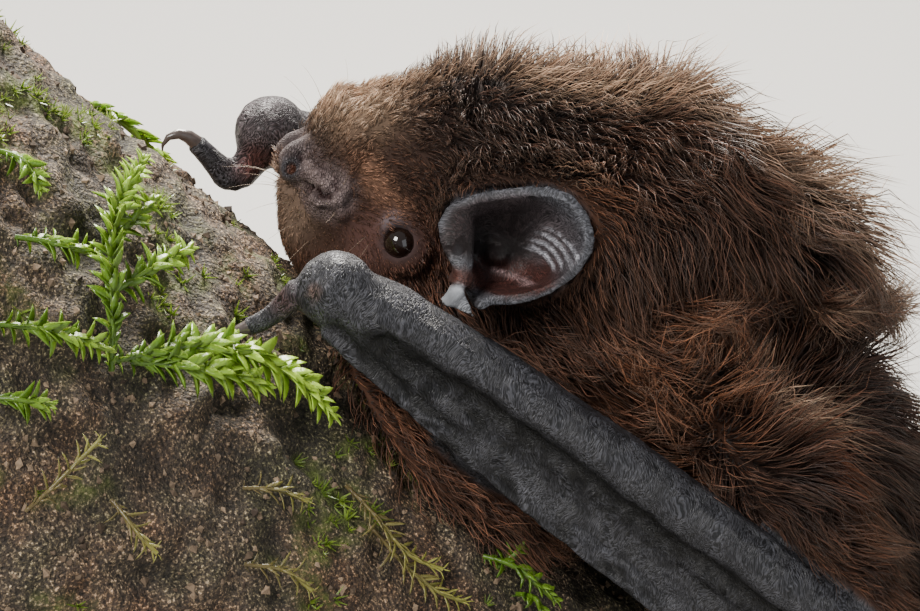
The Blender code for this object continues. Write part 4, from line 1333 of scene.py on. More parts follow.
class BAT_OT_skin(bpy.types.Operator):
    """Makes the one skin that all flesh nodes share"""
    bl_idname = "bat_figure.skin"
    bl_label = "Skin"

    def execute(self, context):
        settings = context.scene.bat_skin
        form = build_skin()
        distance, owner, names = nearest(BARE, form.points, 1.2)
        # the folded wings' sides and the tail's web are bare too, though further from the bare nodes
        beside = np.abs(form.points[:, 1]) + 3.0 * step(form.points[:, 0], -5.0, -8.0)
        wing_side = (beside > 10.4) & (form.points[:, 2] < 8.7) & (distance < 1.9)
        x, y, z = form.points.T
        wing_side |= ((x > 35.6) & (np.abs(y) > 3.0) & (z < 4.8) | (x > 40.3)) & (distance < 2.6)
        cup = ear_hollow(form.points)
        bare = form.blurred(np.maximum((distance < 0.42) | wing_side, cup).astype(float), 3)
        kind = np.array([name.rsplit("_", 1)[0] for name in names] + [""])[owner]
        ear = form.blurred(np.maximum(((kind == "ear") | ear_front(form.points)) * bare, cup), 3)
        ears = ((kind == "ear") | (kind == "tragus")) * bare
        wing = np.clip(bare - form.blurred(np.maximum(ears, cup), 4), 0, 1)
        left = to_left(form.points)
        # the lobe and the flap before the ear opening are smoothed more than the rest
        form.relax(0.6 * np.clip(2.0 * near(left, ear_point(-3.0, -2.9, 0.3), 2.2), 0, 1), 4)
        form.relax(0.8 * np.clip(3.0 * near(left, ear_point(-3.1, 0.3, 0.0), 2.0), 0, 1), 16)
        form.relax(0.5, 2)
        form.push(-0.10 * bare)
        shape_face(form)
        shape_ears(form, ear)
        folds, relief = wing_folds(form.points)
        form.push(wing * folds)
        form.store()
        put(form.mesh, "bare", "FLOAT", bare)
        tone, ear, wing, gland = paint_skin(form, owner, names, bare, settings, context.scene.bat_coat)
        # painted light and shade on the wings, following their folds
        tone = tone * (1 + 0.58 * wing * np.clip(relief, -1.55, 1.2))[:, None]
        put(form.mesh, "lay", "FLOAT_VECTOR", wrinkle_lay(form.points, ear) * MM)
        put(form.mesh, "tone", "FLOAT_COLOR", tone)
        for name, values in (("ear", ear), ("wing", wing), ("gland", gland)):
            put(form.mesh, name, "FLOAT", values)
        mesh = thinned(form.mesh, settings.triangles)
        skin = add_object("bat_skin", dressed(mesh, skin_material()))
        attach(skin, "root")
        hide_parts(*FURRED, *BARE)
        return {"FINISHED"}


class BAT_OT_coat(bpy.types.Operator):
    """Grows the coat in pieces over the furred skin"""
    bl_idname = "bat_figure.coat"
    bl_label = "Coat"

    def execute(self, context):
        settings = context.scene.bat_coat
        skin = bpy.data.objects["bat_skin"]
        form = Form(skin.data)
        mesh = build_scalp(form, stored_on(skin.data, "bare"))
        scalp = add_object("scalp", mesh)
        context.view_layer.objects.active = scalp
        scalp.select_set(True)
        while mesh.uv_layers:
            mesh.uv_layers.remove(mesh.uv_layers[0])
        mesh.uv_layers.new(name="scalp_map")
        bpy.ops.object.mode_set(mode="EDIT")
        bpy.ops.mesh.select_all(action="SELECT")
        bpy.ops.uv.smart_project(angle_limit=math.radians(70), island_margin=0.004)
        bpy.ops.object.mode_set(mode="OBJECT")
        centres = to_branch(read(mesh.polygons, "center", 3))
        areas = read(mesh.polygons, "area", 1)[:, 0]
        share = stored_on(mesh, "share")
        corners = read(mesh.loops, "vertex_index", 1, np.int32)[:, 0].reshape(-1, 3)
        weight = areas * share[corners].mean(1)
        hairs = settings.hairs * 1
        zone = zone_of(centres)
        tree = coat_tree()
        for k, name in enumerate(ZONES):
            bm = bmesh.new()
            bm.from_mesh(mesh)
            bm.faces.ensure_lookup_table()
            bmesh.ops.delete(bm, geom=[bm.faces[i] for i in np.flatnonzero(zone != k)], context="FACES")
            lock_size, segments = (0.0004, 2) if name == "face" else (0.0009, 3)
            values = {"Density": hairs / weight.sum() * CROWDING.get(name, 1.0), "Lock size": lock_size,
                      "Segments": segments, "Seed": 100 + 10 * k}
            piece = grown_piece(f"coat_{name}", mesh_from(bm, f"coat_{name}"), tree, values)
            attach(piece, "root")
        bpy.data.objects.remove(scalp)
        return {"FINISHED"}


def on_bark(x, y, rise=0.0):
    """A place on the round of the branch, or above it, in the branch's frame."""
    out = np.array((0.0, y, math.sqrt(BRANCH_RADIUS ** 2 - y * y))) / BRANCH_RADIUS
    return np.array((x, 0.0, -BRANCH_RADIUS)) + out * (BRANCH_RADIUS + rise)


def round_and_out(points):
    """The direction out of the branch at each point, and the distance from its axis."""
    spread = (points - np.array((0.0, 0.0, -BRANCH_RADIUS))) * (0, 1, 1)
    return unit(spread), np.linalg.norm(spread, axis=1)


def mossiness(points):
    """How much moss grows at each point of the branch, from 0 to 1."""
    out, _ = round_and_out(points)
    patch = 0.55 * ripple(points, 5.5, 61) + 0.35 * ripple(points, 2.2, 62) + 0.3 * ripple(points, 1.0, 63)
    upper = step(points[:, 0], -12.0, -26.0) * step(out[:, 1], -0.75, -0.1)
    shade = 0.35 * upper + 0.25 * step(points[:, 0], 10.0, 40.0) + 0.15 * step(out[:, 2], 0.2, -0.8)
    return step(patch + shade, 0.25, 0.85)


def bark_material():
    """Granular bark with painted shade in its low places and gaps, lichen stains and a green film, and sawn
    wood at the ends.
    """
    settings = bpy.context.scene.bat_branch
    made, sheet = new_material("bark")
    mossy = sheet.attribute("mossy")
    sawn = sheet.attribute("sawn")
    high = sheet.attribute("relief")
    grit = sheet.noise(sheet.place, 4300.0, 2.0, 0.6)
    lumps = sheet.noise(sheet.place, 1100.0, 3.0, 0.7)
    bark = sheet.grained(sheet.place, 700.0, settings.bark, 1.9)
    pick = sheet.noise(sheet.place, 5600.0, 2.0, 0.7)
    crumbly = sheet.ramp(pick, (0.40, (0.006, 0.005, 0.004)), (0.50, (0.045, 0.030, 0.022)),
                         (0.56, (0.11, 0.085, 0.040)), (0.62, (0.33, 0.24, 0.15)), (0.70, (0.85, 0.64, 0.42)))
    dark = sheet.mix(0.84, bark["Colour"], crumbly)
    # wide stains, warm and green
    stain = sheet.ramp(sheet.noise(sheet.place, 170.0, 3.0, 0.6), (0.36, (1.15, 0.90, 0.80)),
                       (0.50, (1.0, 1.0, 1.0)), (0.62, (0.74, 0.88, 0.74)))
    dark = dark * stain
    # painted shade in the low places of the bark's relief
    dark = sheet.mix(sheet.ramp(high, (0.18, 0.45), (0.55, 1.0)), (0.012, 0.008, 0.006), dark)
    gaps = sheet.math("MAXIMUM", sheet.ramp(grit, (0.34, 1.0), (0.50, 0.0)),
                      sheet.ramp(lumps, (0.30, 0.8), (0.52, 0.0)))
    # painted shade in the gaps between the grains, where the bump is low
    dark = sheet.mix(gaps * 0.85, dark, (0.008, 0.006, 0.004))
    film = mossy * sheet.ramp(sheet.noise(sheet.place, 1300.0, 3.0), (0.35, 0.1), (0.65, 1.0))
    green = sheet.grained(sheet.place, 1500.0, (0.105, 0.135, 0.020), 2.2)
    grown = sheet.mix(film * 0.85, dark, green["Colour"])
    # the branch's frame, for the rings round a heart that lies off the branch's axis
    lie = sheet.add("ShaderNodeMapping", {"Vector": sheet.place, "Location": (-0.0025, 0.0, -0.103)})[0]
    lie = sheet.add("ShaderNodeMapping", {"Vector": lie, "Rotation": (0, -SLOPE, 0)})[0]
    axial = (lie + (0.0, 0.0015, 0.0235)) * (0.0, 1.0, 1.0)
    warp = sheet.add("ShaderNodeTexNoise", {"Vector": sheet.place, "Scale": 60.0})["Color"]
    radius = sheet.vector("LENGTH", axial + warp * 0.0022)
    rings = (sheet.noise(sheet.axes(radius), 900.0, 1.0) - 0.35) * 3.0
    wood = sheet.mix(sheet.ramp(rings, (0.0, 0.0), (0.9, 1.0)), (0.36, 0.22, 0.12), (0.22, 0.12, 0.06))
    wood = sheet.grained(sheet.place, 1100.0, wood, 0.6)["Colour"]
    height = (grit * 0.7 + bark["Height"] * 0.6 + lumps) * (1.0 - sawn * 0.85)
    sheet.finish(Base_Color=sheet.mix(sawn, grown, wood), Roughness=0.82,
                 Normal=sheet.bump(height, 0.00035, 1.0))
    return made


def leaf_material(name, young, old):
    """Moss leaf: brighter towards the tip of the shoot, thin enough to glow a little."""
    made, sheet = new_material(name)
    fresh = sheet.attribute("fresh")
    blade = sheet.attribute("blade")
    tint = sheet.mix(fresh, old, young)
    tint = sheet.grained(sheet.place, 800.0, tint, 1.3)["Colour"]
    tint = sheet.mix(sheet.ramp(blade, (0.0, 0.0), (1.0, 0.55)), tint, tint * 1.9)
    pleats = sheet.noise(sheet.place, 5200.0, 1.0)
    sheet.finish(Base_Color=tint, Roughness=0.30, Subsurface_Weight=0.15,
                 Subsurface_Radius=(0.0006, 0.0009, 0.0002), Subsurface_Scale=0.5, Specular_IOR_Level=0.45,
                 Normal=sheet.bump(pleats, 0.00006, 0.6))
    return made


def leaf_mesh(name, stations, width, cup, curl):
    """One closed leaf along +X, a metre long, cupped, pleated on its midrib and curled back at its tip."""
    bm = bmesh.new()
    rings = []
    for t in np.linspace(0, 1, stations + 2)[1:-1]:
        half = width * math.sin(math.pi * t ** 0.72) ** 0.8 / 2
        rise = -curl * t * t
        ring_points = ((t, -half, rise + cup * half), (t, 0, rise + 0.02), (t, half, rise + cup * half),
                       (t, 0, rise - 0.05))
        rings.append([bm.verts.new(point) for point in ring_points])
    ends = bm.verts.new((0, 0, 0)), bm.verts.new((1, 0, -curl))
    for k in range(4):
        nxt = (k + 1) % 4
        bm.faces.new((ends[0], rings[0][k], rings[0][nxt]))
        bm.faces.new((ends[1], rings[-1][nxt], rings[-1][k]))
        for a, b in zip(rings, rings[1:]):
            bm.faces.new((a[k], b[k], b[nxt], a[nxt]))
    bmesh.ops.recalc_face_normals(bm, faces=bm.faces)
    return mesh_from(bm, name)


def shoot_mesh(name, spikes, seed):
    """A small closed moss shoot, a metre tall: thin spikes that fan out of one foot."""
    rng = np.random.default_rng(seed)
    bm = bmesh.new()
    for k in range(spikes):
        lean = Matrix.Rotation(rng.uniform(0.15, 1.0), 4, "X")
        turn = Matrix.Rotation(2 * math.pi * k / spikes + rng.uniform(-0.4, 0.4), 4, "Z")
        tall = rng.uniform(0.6, 1.0)
        bmesh.ops.create_cone(bm, cap_ends=True, segments=3, radius1=0.11, radius2=0.015, depth=tall,
                              matrix=turn @ lean @ Matrix.Translation((0, 0, tall / 2 - 0.08)))
    return mesh_from(bm, name)


def input_object(sheet, socket):
    """The geometry of an object input."""
    return sheet.add("GeometryNodeObjectInfo", {"Object": socket})["Geometry"]


def frond_tree(material):
    """Leaves in two overlapping ranks along stems, with the stem itself."""
    inputs = (("Leaf", "Object"), ("Spacing", "Float"), ("Leaf size", "Float"), ("Stem width", "Float"),
              ("Seed", "Int"))
    sheet, given = geometry_tree("Moss fronds", inputs)
    curve = sheet.add("GeometryNodeMeshToCurve", {0: given["Geometry"]})[0]
    even = sheet.add("GeometryNodeResampleCurve", {"Curve": curve, "Length": given["Spacing"]},
                     mode="LENGTH")[0]
    tangent = sheet.add("GeometryNodeInputTangent")[0]
    share = sheet.add("GeometryNodeSplineParameter")["Factor"]
    index = sheet.add("GeometryNodeInputIndex")[0]
    side = sheet.math("MODULO", index, 2.0) * 2.0 - 1.0
    away = named(sheet, "away", "FLOAT_VECTOR")
    upright = sheet.add("FunctionNodeAlignEulerToVector", {"Vector": away}, axis="Z")[0]
    facing = sheet.add("FunctionNodeAlignEulerToVector", {"Rotation": upright, "Vector": tangent}, axis="X",
                       pivot_axis="Z")[0]
    stems = stored(sheet, even, "facing", facing, "FLOAT_VECTOR")
    stems = stored(sheet, stems, "fresh", sheet.math("POWER", share, 1.6)
                   * sheet.math("POWER", named(sheet, "vigour"), 3.0))
    parts = [None]
    for k, (spread, tip, size) in enumerate(((0.80, 0.30, 1.0), (0.40, 0.62, 0.82))):
        chance = sheet.chance(given["Seed"] + k, (-0.42, -0.42, -0.42), (0.42, 0.42, 0.42))
        swing = sheet.axes(side * -0.35, -tip, side * (spread * (1 if k else -1)))
        values = {"Rotation": named(sheet, "facing", "FLOAT_VECTOR"), "Rotate By": swing + chance}
        turned = sheet.add("FunctionNodeRotateEuler", values, space="LOCAL")[0]
        narrow = 1.0 - sheet.math("POWER", share, 5.0)
        grown = 0.45 + sheet.math("MINIMUM", share * 4.0, 1.0) * 0.55
        scale = given["Leaf size"] * size * (grown * (0.45 + narrow * 0.55))
        scale = scale * named(sheet, "vigour")
        leaf = input_object(sheet, given["Leaf"])
        values = {"Points": stems, "Instance": leaf, "Rotation": turned, "Scale": scale}
        parts.append(sheet.add("GeometryNodeInstanceOnPoints", values)[0])
    ring_curve = sheet.add("GeometryNodeCurvePrimitiveCircle",
                           {"Resolution": 5, "Radius": given["Stem width"]})[0]
    parts[0] = sheet.add("GeometryNodeCurveToMesh", {"Curve": stems, "Profile Curve": ring_curve,
                                                     "Fill Caps": True})[0]
    joined = sheet.add("GeometryNodeJoinGeometry")
    for part in reversed(parts):
        sheet.fill(joined.node.inputs[0], part)
    realized = sheet.add("GeometryNodeRealizeInstances", {0: joined[0]})[0]
    realized = without(sheet, realized, "facing", "away", "vigour")
    smooth = sheet.add("GeometryNodeSetShadeSmooth", {"Geometry": realized})[0]
    end_tree(sheet, smooth, material)
    return sheet.tree


def scatter_tree(name, material):
    """Small pieces scattered over a surface by its stored share, stood along the surface's normal."""
    inputs = (("Piece", "Object"), ("Density", "Float"), ("Smallest", "Float"), ("Largest", "Float"),
              ("Sink", "Float"), ("Seed", "Int"))
    sheet, given = geometry_tree(name, inputs)
    density = given["Density"] * named(sheet, "share")
    sown = sheet.add("GeometryNodeDistributePointsOnFaces",
                     {"Mesh": given["Geometry"], "Density": density, "Seed": given["Seed"]})
    seed = [given["Seed"] + k for k in (1, 2, 3)]
    size = sheet.chance(seed[0], given["Smallest"], given["Largest"])
    tilt = sheet.chance(seed[1], (-0.5, -0.5, -3.1), (0.5, 0.5, 3.1))
    shape = sheet.chance(seed[2], (0.7, 0.7, 0.6), (1.3, 1.3, 1.2))
    points = stored(sheet, sown["Points"], "fresh", sheet.chance(given["Seed"]))
    stood = sheet.add("FunctionNodeAlignEulerToVector", {"Vector": sown["Normal"]}, axis="Z")[0]
    turned = sheet.add("FunctionNodeRotateEuler", {"Rotation": stood, "Rotate By": tilt}, space="LOCAL")[0]
    sunk = sown["Normal"] * (size * given["Sink"] * -1.0)
    points = stored(sheet, points, "turned", turned, "FLOAT_VECTOR")
    points = stored(sheet, points, "size", shape * size, "FLOAT_VECTOR")
    points = sheet.add("GeometryNodeSetPosition", {"Geometry": points, "Offset": sunk})[0]
    values = {"Points": points, "Instance": input_object(sheet, given["Piece"]),
              "Rotation": named(sheet, "turned", "FLOAT_VECTOR"),
              "Scale": named(sheet, "size", "FLOAT_VECTOR")}
    placed = sheet.add("GeometryNodeInstanceOnPoints", values)[0]
    realized = sheet.add("GeometryNodeRealizeInstances", {0: placed})[0]
    end_tree(sheet, without(sheet, realized, "turned", "size", "share", "mossy", "sawn", "relief"), material)
    return sheet.tree


FRONDS = (  # vigour, then places along the branch and across it, then the tip's rise
    (1.0, ((-17.6, -16.1), (-19.6, -14.4), (-21.3, -12.5), (-22.0, -10.2), (-21.0, -6.6)), 2.6),
    (0.9, ((-20.9, -11.8), (-20.4, -9.8), (-19.5, -7.9)), 2.0),
    (1.0, ((-19.6, -13.4), (-18.4, -11.4), (-16.9, -9.4)), 2.2),
    (1.25, ((-17.6, -15.6), (-15.4, -13.8), (-13.0, -12.4), (-10.4, -11.3), (-7.6, -11.0), (-5.2, -11.6)),
     1.5),
    (1.1, ((-16.8, -15.2), (-14.3, -14.2), (-11.8, -13.2), (-9.4, -12.4)), 1.2),
    (0.9, ((-24.5, -17.6), (-21.6, -16.7), (-18.9, -16.1)), 1.4),
    (0.8, ((-22.6, -19.7), (-20.1, -19.0)), 1.0),
    (0.8, ((-28.0, -10.2), (-25.7, -11.7)), 1.2),
    (0.8, ((-25.5, -13.8), (-23.3, -13.4), (-21.6, -12.6)), 1.2),
    (0.7, ((7.6, -11.2), (9.6, -11.6), (12.0, -11.9)), 1.6),
    (0.6, ((8.6, -11.3), (9.0, -10.2)), 1.5),
    (0.6, ((10.4, -11.8), (11.4, -13.0)), 1.5),
    (0.9, ((18.0, 14.0), (22.0, 12.0), (27.0, 11.5)), 1.8),
    (0.9, ((-20.0, 15.0), (-15.0, 14.0), (-11.0, 15.0)), 1.8),
    (0.8, ((40.0, -16.0), (44.0, -14.5), (49.0, -14.8)), 1.6),
    (0.8, ((60.0, -8.0), (63.0, -9.5), (67.0, -9.0)), 1.6),
)
STRAPS = (  # slender dry sprigs: vigour, places, rise
    (0.8, ((-2.3, -13.2), (-0.8, -13.9), (0.7, -14.6), (2.4, -14.9), (4.2, -14.5)), 1.5),
    (0.8, ((0.2, -14.2), (2.6, -15.2), (5.0, -15.2), (6.6, -14.8)), 1.0),
    (0.7, ((-17.9, -21.7), (-17.7, -20.4), (-17.3, -19.1)), 2.0),
    (0.7, ((-14.3, -20.0), (-12.9, -20.5), (-11.3, -20.7)), 1.6),
    (0.7, ((-8.0, -16.6), (-6.4, -16.0), (-4.8, -15.8)), 1.2),
    (0.7, ((-6.0, -19.0), (-4.0, -18.4), (-2.4, -18.6)), 1.2),
)


def stems_mesh(name, rows, bow=1.1):
    """Stems as bare edges that bow off the bark, with the way out of it and their vigour stored."""
    points, edges, away, vigour = [], [], [], []
    for size, places, rise in rows:
        places = np.array(places)
        count = 6 * (len(places) - 1) + 1
        at = np.linspace(0, len(places) - 1, count)
        x, y = (np.interp(at, range(len(places)), places[:, k]) for k in (0, 1))
        for _ in range(6):
            x[1:-1] = (x[:-2] + 2 * x[1:-1] + x[2:]) / 4
            y[1:-1] = (y[:-2] + 2 * y[1:-1] + y[2:]) / 4
        for k in range(count):
            t = k / (count - 1)
            if k:
                edges.append((len(points) - 1, len(points)))
            height = 0.1 + bow * math.sin(math.pi * min(t, 0.6)) + (rise - bow) * t
            points.append(on_bark(x[k], y[k], height))
            away.append(unit(on_bark(x[k], y[k], 1.0) - on_bark(x[k], y[k])))
            vigour.append(size)
    mesh = bpy.data.meshes.new(name)
    mesh.from_pydata(to_row(points).tolist(), edges, [])
    put(mesh, "away", "FLOAT_VECTOR", np.array(away) @ TURN.T)
    put(mesh, "vigour", "FLOAT", vigour)
    return mesh


class BAT_OT_branch(bpy.types.Operator):
    """Makes the bark with its relief and sawn ends"""
    bl_idname = "bat_figure.branch"
    bl_label = "Branch"

    def execute(self, context):
        bm = bmesh.new()
        add_node_copy(bm, "perch_log", 0.0)
        form = Form(remeshed(mesh_from(bm, "bark"), 0.56 * MM))
        points = form.points
        _, radius = round_and_out(points)
        ends = points[:, 0].min(), points[:, 0].max()
        from_end = np.minimum(points[:, 0] - ends[0], ends[1] - points[:, 0])
        sawn = step(from_end, 0.5, 0.15) * step(radius, 25.5, 24.0)
        clear = np.ones(len(points))
        for name in ("stand_rod_front", "stand_rod_rear"):
            low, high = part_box(name)
            middle = np.array((low + high) / 2) * 1000
            across = to_row(points) * 1000 - middle
            clear *= step(np.hypot(across[:, 0], across[:, 1]), 3.2, 4.6)
        plates = 1 - 2 * np.abs(np.clip(ripple(points * (0.5, 1, 1), 7.0, 51), -1, 1))
        crumbs = 0.40 * ripple(points, 2.6, 52) + 0.42 * ripple(points, 1.15, 53)
        relief = 0.30 * plates + crumbs
        form.push(relief * 0.62 * (1 - sawn) * clear - 0.25 * clear * (1 - sawn))
        form.store()
        mesh = form.mesh
        # the relief is stored for the painted shade in the bark's low places
        put(mesh, "relief", "FLOAT", np.clip(0.5 + 0.6 * relief, 0, 1))
        put(mesh, "mossy", "FLOAT", mossiness(points))
        put(mesh, "sawn", "FLOAT", sawn)
        bark = add_object("bark", dressed(mesh, bark_material()))
        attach(bark, "root")
        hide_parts("perch_log")
        return {"FINISHED"}


def bark_patch(kind):
    """A copy of the bark's mesh with the share of small pieces that it carries stored."""
    mesh = bpy.data.objects["bark"].data.copy()
    points = to_branch(read(mesh.vertices, "co", 3))
    mossy, sawn = (stored_on(mesh, name) for name in ("mossy", "sawn"))
    out, _ = round_and_out(points)
    under = near(points * (0.55, 1.0, 0.0), (5.0, 0, 0), 13.0)
    if kind == "moss":
        share = mossy ** 2 * (1 - 0.9 * under)
    else:
        share = (0.35 + step(ripple(points, 2.4, 71), -0.2, 0.8)) * (1 - 0.6 * mossy)
    put(mesh, "share", "FLOAT", share * (1 - sawn) * step(out[:, 2], -0.95, -0.4))
    area = read(mesh.polygons, "area", 1)[:, 0].sum() * share.mean()
    return mesh, area


class BAT_OT_litter(bpy.types.Operator):
    """Scatters crumbs of bark over the branch"""
    bl_idname = "bat_figure.litter"
    bl_label = "Bark crumbs"

    def execute(self, context):
        bm = bmesh.new()
        bmesh.ops.create_uvsphere(bm, u_segments=4, v_segments=2, radius=1.0)
        rng = np.random.default_rng(3)
        for vert in bm.verts:
            vert.co *= rng.uniform(0.75, 1.2)
        crumb = add_object("crumb", mesh_from(bm, "crumb"))
        mesh, area = bark_patch("litter")
        made, sheet = new_material("bark_crumbs")
        tint = sheet.mix(sheet.attribute("fresh"), (0.035, 0.022, 0.014), (0.30, 0.21, 0.135))
        grain = sheet.grained(sheet.place, 2500.0, tint, 1.5)
        sheet.finish(Base_Color=grain["Colour"], Roughness=0.85, Normal=sheet.bump(grain["Height"], 0.0001))
        tree = scatter_tree("Bark crumbs", made)
        values = {"Piece": crumb, "Density": 12500 / area, "Smallest": 0.00010, "Largest": 0.00036,
                  "Sink": 0.1, "Seed": 5}
        piece = grown_piece("bark_crumbs", mesh, tree, values)
        bpy.data.objects.remove(crumb)
        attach(piece, "root")
        return {"FINISHED"}


class BAT_OT_moss(bpy.types.Operator):
    """Grows the leafy moss, its dry sprigs and the small shoots"""
    bl_idname = "bat_figure.moss"
    bl_label = "Moss"

    def execute(self, context):
        settings = context.scene.bat_branch
        leafy = leaf_material("moss_leaf", settings.moss, (0.070, 0.140, 0.012))
        leaf = add_object("leaf", leaf_mesh("leaf", 4, 0.36, 0.62, 0.30))
        blade = add_object("blade", leaf_mesh("blade", 4, 0.16, 0.3, 0.35))
        shoot = add_object("shoot", shoot_mesh("shoot", 6, 4))
        for item in (leaf, blade):
            put(item.data, "blade", "FLOAT", read(item.data.vertices, "co", 3)[:, 0])
        put(shoot.data, "blade", "FLOAT", read(shoot.data.vertices, "co", 3)[:, 2])
        fronds = frond_tree(leafy)
        dry = frond_tree(leaf_material("moss_sprig", (0.42, 0.44, 0.07), (0.115, 0.085, 0.035)))
        green = leaf_material("moss_shoot", (0.15, 0.22, 0.025), (0.040, 0.070, 0.010))
        small = scatter_tree("Moss shoots", green)
        mesh, area = bark_patch("moss")
        rows = (
            ("moss_fronds", stems_mesh("moss_fronds", FRONDS), fronds,
             {"Leaf": leaf, "Spacing": 0.00026, "Leaf size": 0.00155, "Stem width": 0.00016, "Seed": 3}),
            ("moss_sprigs", stems_mesh("moss_sprigs", STRAPS, 0.6), dry,
             {"Leaf": blade, "Spacing": 0.00036, "Leaf size": 0.0017, "Stem width": 0.00012, "Seed": 9}),
            ("moss_shoots", mesh, small,
             {"Piece": shoot, "Density": settings.moss_shoots / area, "Smallest": 0.0004, "Largest": 0.0012,
              "Sink": 0.15, "Seed": 12}))
        for name, base, tree, values in rows:
            piece = grown_piece(name, base, tree, values)
            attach(piece, "root")
        for item in (leaf, blade, shoot):
            bpy.data.objects.remove(item)
        return {"FINISHED"}


def wood_material():
    """Oiled dark hardwood with the grain along the base."""
    made, sheet = new_material("stand_wood")
    settings = bpy.context.scene.bat_stand
    long = sheet.place * (0.10, 1.0, 1.0)
    warp = sheet.add("ShaderNodeTexNoise", {"Vector": long, "Scale": 90.0, "Detail": 2.0})["Color"]
    bands = sheet.add("ShaderNodeTexWave", {"Vector": long + warp * 0.012, "Scale": 110.0,
                                            "Distortion": 1.5, "Detail": 3.0}, bands_direction="Y")["Fac"]
    pores = sheet.noise(sheet.place * (0.06, 1.0, 1.0), 2600.0, 3.0)
    base = sheet.mix(bands, settings.wood, [1.9 * c for c in settings.wood])
    grain = sheet.grained(long, 400.0, base, 0.7)
    dark = sheet.mix(sheet.ramp(pores, (0.30, 0.75), (0.42, 0.0)), grain["Colour"], (0.03, 0.014, 0.007))
    sheet.finish(Base_Color=dark, Roughness=0.34 + bands * 0.12, Normal=sheet.bump(pores, 0.00008, 0.5),
                 Coat_Weight=0.15, Coat_Roughness=0.3)
    return made


def metal_material():
    """Brushed steel."""
    made, sheet = new_material("stand_metal")
    settings = bpy.context.scene.bat_stand
    brushed = sheet.noise(sheet.place * (1.0, 1.0, 14.0), 900.0, 3.0)
    grain = sheet.grained(sheet.place, 300.0, settings.metal, 0.25)
    sheet.finish(Base_Color=grain["Colour"], Metallic=1.0, Roughness=0.22 + brushed * 0.2,
                 Normal=sheet.bump(brushed, 0.00002, 0.5))
    return made


def horn_material():
    """Dark horn with a slight gloss."""
    made, sheet = new_material("claw_horn")
    grain = sheet.grained(sheet.place, 1800.0, (0.075, 0.058, 0.052), 1.4)
    sheet.finish(Base_Color=grain["Colour"], Roughness=0.28, Coat_Weight=0.3, Coat_Roughness=0.2,
                 Normal=sheet.bump(grain["Height"], 0.00003, 0.6))
    return made


class BAT_OT_stand(bpy.types.Operator):
    """Finishes the base and the rods"""
    bl_idname = "bat_figure.stand"
    bl_label = "Stand"

    def execute(self, context):
        finishes = (("stand_base", wood_material()), ("stand_rod_front", metal_material()),
                    ("stand_rod_rear", bpy.data.materials["stand_metal"]))
        for name, made in finishes:
            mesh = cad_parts[name].data
            mesh.materials.clear()
            mesh.materials.append(made)
        return {"FINISHED"}


WHISKERS = (  # foot, tip and sag of the left side's whiskers
    ((-11.3, -1.2, 7.2), (-14.6, -2.6, 8.9), 0.4), ((-11.5, -0.8, 6.6), (-15.4, -1.4, 8.0), 0.5),
    ((-10.8, -1.6, 8.0), (-12.8, -3.2, 10.6), 0.3), ((-7.6, -4.1, 5.3), (-8.8, -6.6, 4.6), 0.2),
    ((-7.3, -4.4, 5.1), (-8.2, -7.0, 4.3), 0.2), ((-11.2, -1.6, 3.4), (-13.2, -3.2, 1.9), 0.3),
    ((-10.3, -2.3, 3.0), (-11.8, -4.6, 1.6), 0.3), ((-9.3, -2.9, 2.8), (-10.4, -5.4, 1.7), 0.3),
    ((-11.8, -0.8, 3.6), (-14.2, -1.4, 1.9), 0.3), ((-9.6, -3.4, 5.0), (-10.8, -6.4, 5.0), 0.3),
    ((-10.2, -3.0, 6.4), (-11.8, -5.6, 7.8), 0.3),
)


def strands_mesh(name, rows, thickness, sides):
    """Closed strands as one mesh. Each row holds places and the share of the thickness there."""
    data = bpy.data.curves.new(name, "CURVE")
    data.dimensions = "3D"
    data.bevel_depth = thickness
    data.bevel_resolution = sides
    data.use_fill_caps = True
    for row in rows:
        line = data.splines.new("POLY")
        line.points.add(len(row) - 1)
        for point, (x, y, z, radius) in zip(line.points, row):
            point.co = (*to_row((x, y, z)), 1)
            point.radius = radius
    return applied(add_object(name, data))


class BAT_OT_whiskers(bpy.types.Operator):
    """Makes the long pale hairs of the face"""
    bl_idname = "bat_figure.whiskers"
    bl_label = "Whiskers"

    def execute(self, context):
        rows = []
        for side in (1, -1):
            for foot, tip, sag in WHISKERS:
                foot, tip = np.array(foot) * (1, side, 1), np.array(tip) * (1, side, 1)
                row = []
                for t in (k / 7 for k in range(8)):
                    place = foot + (tip - foot) * t + (0, 0, -4 * sag * t * (t - 1))
                    row.append((*place, 1.0 - 0.8 * t))
                rows.append(row)
        mesh = strands_mesh("whiskers", rows, 0.019 * MM, 1)
        made, sheet = new_material("whisker")
        sheet.finish(Base_Color=sheet.grained(sheet.place, 900.0, (0.34, 0.25, 0.18), 1.0)["Colour"],
                     Roughness=0.4)
        whiskers = add_object("whiskers", dressed(mesh, made))
        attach(whiskers, "root")
        return {"FINISHED"}


THUMB_CLAWS = (  # places and radii along each thumb's claw, the left one first
    ((-11.45, -10.32, -1.10, 0.42), (-11.7, -10.42, -1.45, 0.33), (-11.95, -10.6, -1.75, 0.23),
     (-11.95, -10.8, -2.05, 0.13), (-11.8, -10.9, -2.2, 0.05)),
    ((-13.4, 8.98, 0.20, 0.46), (-14.0, 8.95, 0.20, 0.40), (-14.55, 8.9, -0.02, 0.31),
     (-14.88, 8.82, -0.55, 0.20), (-14.8, 8.75, -1.1, 0.10), (-14.6, 8.7, -1.35, 0.04)),
)


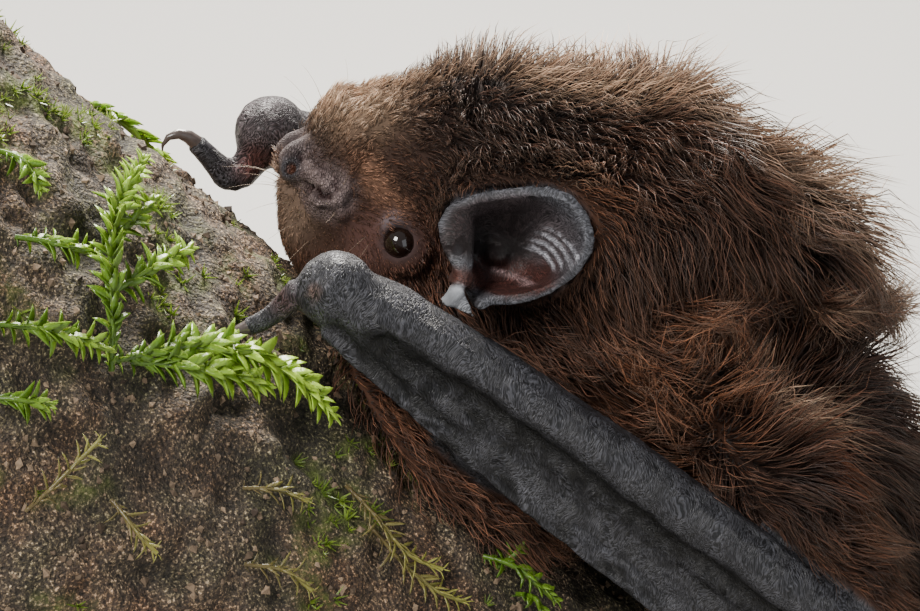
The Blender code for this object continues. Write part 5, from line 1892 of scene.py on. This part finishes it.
class BAT_OT_claws(bpy.types.Operator):
    """Makes the hooked claws of the thumbs and toes"""
    bl_idname = "bat_figure.claws"
    bl_label = "Claws"

    def execute(self, context):
        rows = list(THUMB_CLAWS)
        for side in (1, -1):
            for x, y in TOE_ENDS:
                row = []
                for t in (k / 8 for k in range(9)):
                    height = 0.72 + 0.5 * math.sin(t * 3.0) - 0.75 * t
                    place = on_bark(x - 0.35 + 1.5 * math.sin(t * 1.7), y * side, height)
                    row.append((*place, 0.24 * (1 - t) ** 0.7 + 0.015))
                rows.append(row)
        mesh = strands_mesh("claws", rows, MM, 2)
        claws = add_object("claws", dressed(mesh, horn_material()))
        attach(claws, "root")
        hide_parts("thumb_claw_left", "thumb_claw_right")
        return {"FINISHED"}


class BAT_OT_eyes(bpy.types.Operator):
    """Makes the two eyes"""
    bl_idname = "bat_figure.eyes"
    bl_label = "Eyes"

    def execute(self, context):
        made, sheet = new_material("bat_eye")
        tint = sheet.grained(sheet.place, 2000.0, context.scene.bat_eye.iris, 0.6)
        sheet.finish(Base_Color=tint["Colour"], Roughness=0.06, Coat_Weight=1.0, Coat_Roughness=0.03,
                     IOR=1.4)
        for name, centre in (("left", EYE_CENTRE), ("right", mirrored(EYE_CENTRE))):
            bm = bmesh.new()
            bmesh.ops.create_uvsphere(bm, u_segments=48, v_segments=32, radius=EYE_RADIUS * MM,
                                      matrix=Matrix.Translation(Vector(to_row(centre))))
            bm.verts.index_update()
            bm.faces.sort(key=corner_order)
            eye = add_object(f"eyeball_{name}", dressed(mesh_from(bm, f"eyeball_{name}"), made))
            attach(eye, "root")
            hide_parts(f"eye_{name}")
        return {"FINISHED"}


PIECES = (BAT_OT_stage, BAT_OT_skin, BAT_OT_eyes, BAT_OT_claws, BAT_OT_whiskers, BAT_OT_coat, BAT_OT_branch,
          BAT_OT_litter, BAT_OT_moss, BAT_OT_stand)


class BAT_PT_panel(bpy.types.Panel):
    """Lists the pieces of the bat figure and their settings"""
    bl_label = "Bat figure"
    bl_idname = "BAT_PT_panel"
    bl_space_type = "VIEW_3D"
    bl_region_type = "UI"
    bl_category = "Bat"

    def draw(self, context):
        for piece in PIECES:
            self.layout.operator(piece.bl_idname)
        for name, group in GROUPS.items():
            box = self.layout.box()
            for setting in group.__annotations__:
                box.prop(getattr(context.scene, name), setting)


def register():
    for item in (*GROUPS.values(), *PIECES, BAT_PT_panel):
        bpy.utils.register_class(item)
    for name, group in GROUPS.items():
        setattr(bpy.types.Scene, name, PointerProperty(type=group))


def unregister():
    for name in GROUPS:
        delattr(bpy.types.Scene, name)
    for item in reversed((*GROUPS.values(), *PIECES, BAT_PT_panel)):
        bpy.utils.unregister_class(item)


def main():
    register()
    for piece in PIECES:
        category, label = piece.bl_idname.split(".")
        getattr(getattr(bpy.ops, category), label)()


if __name__ == "__main__":
    main()
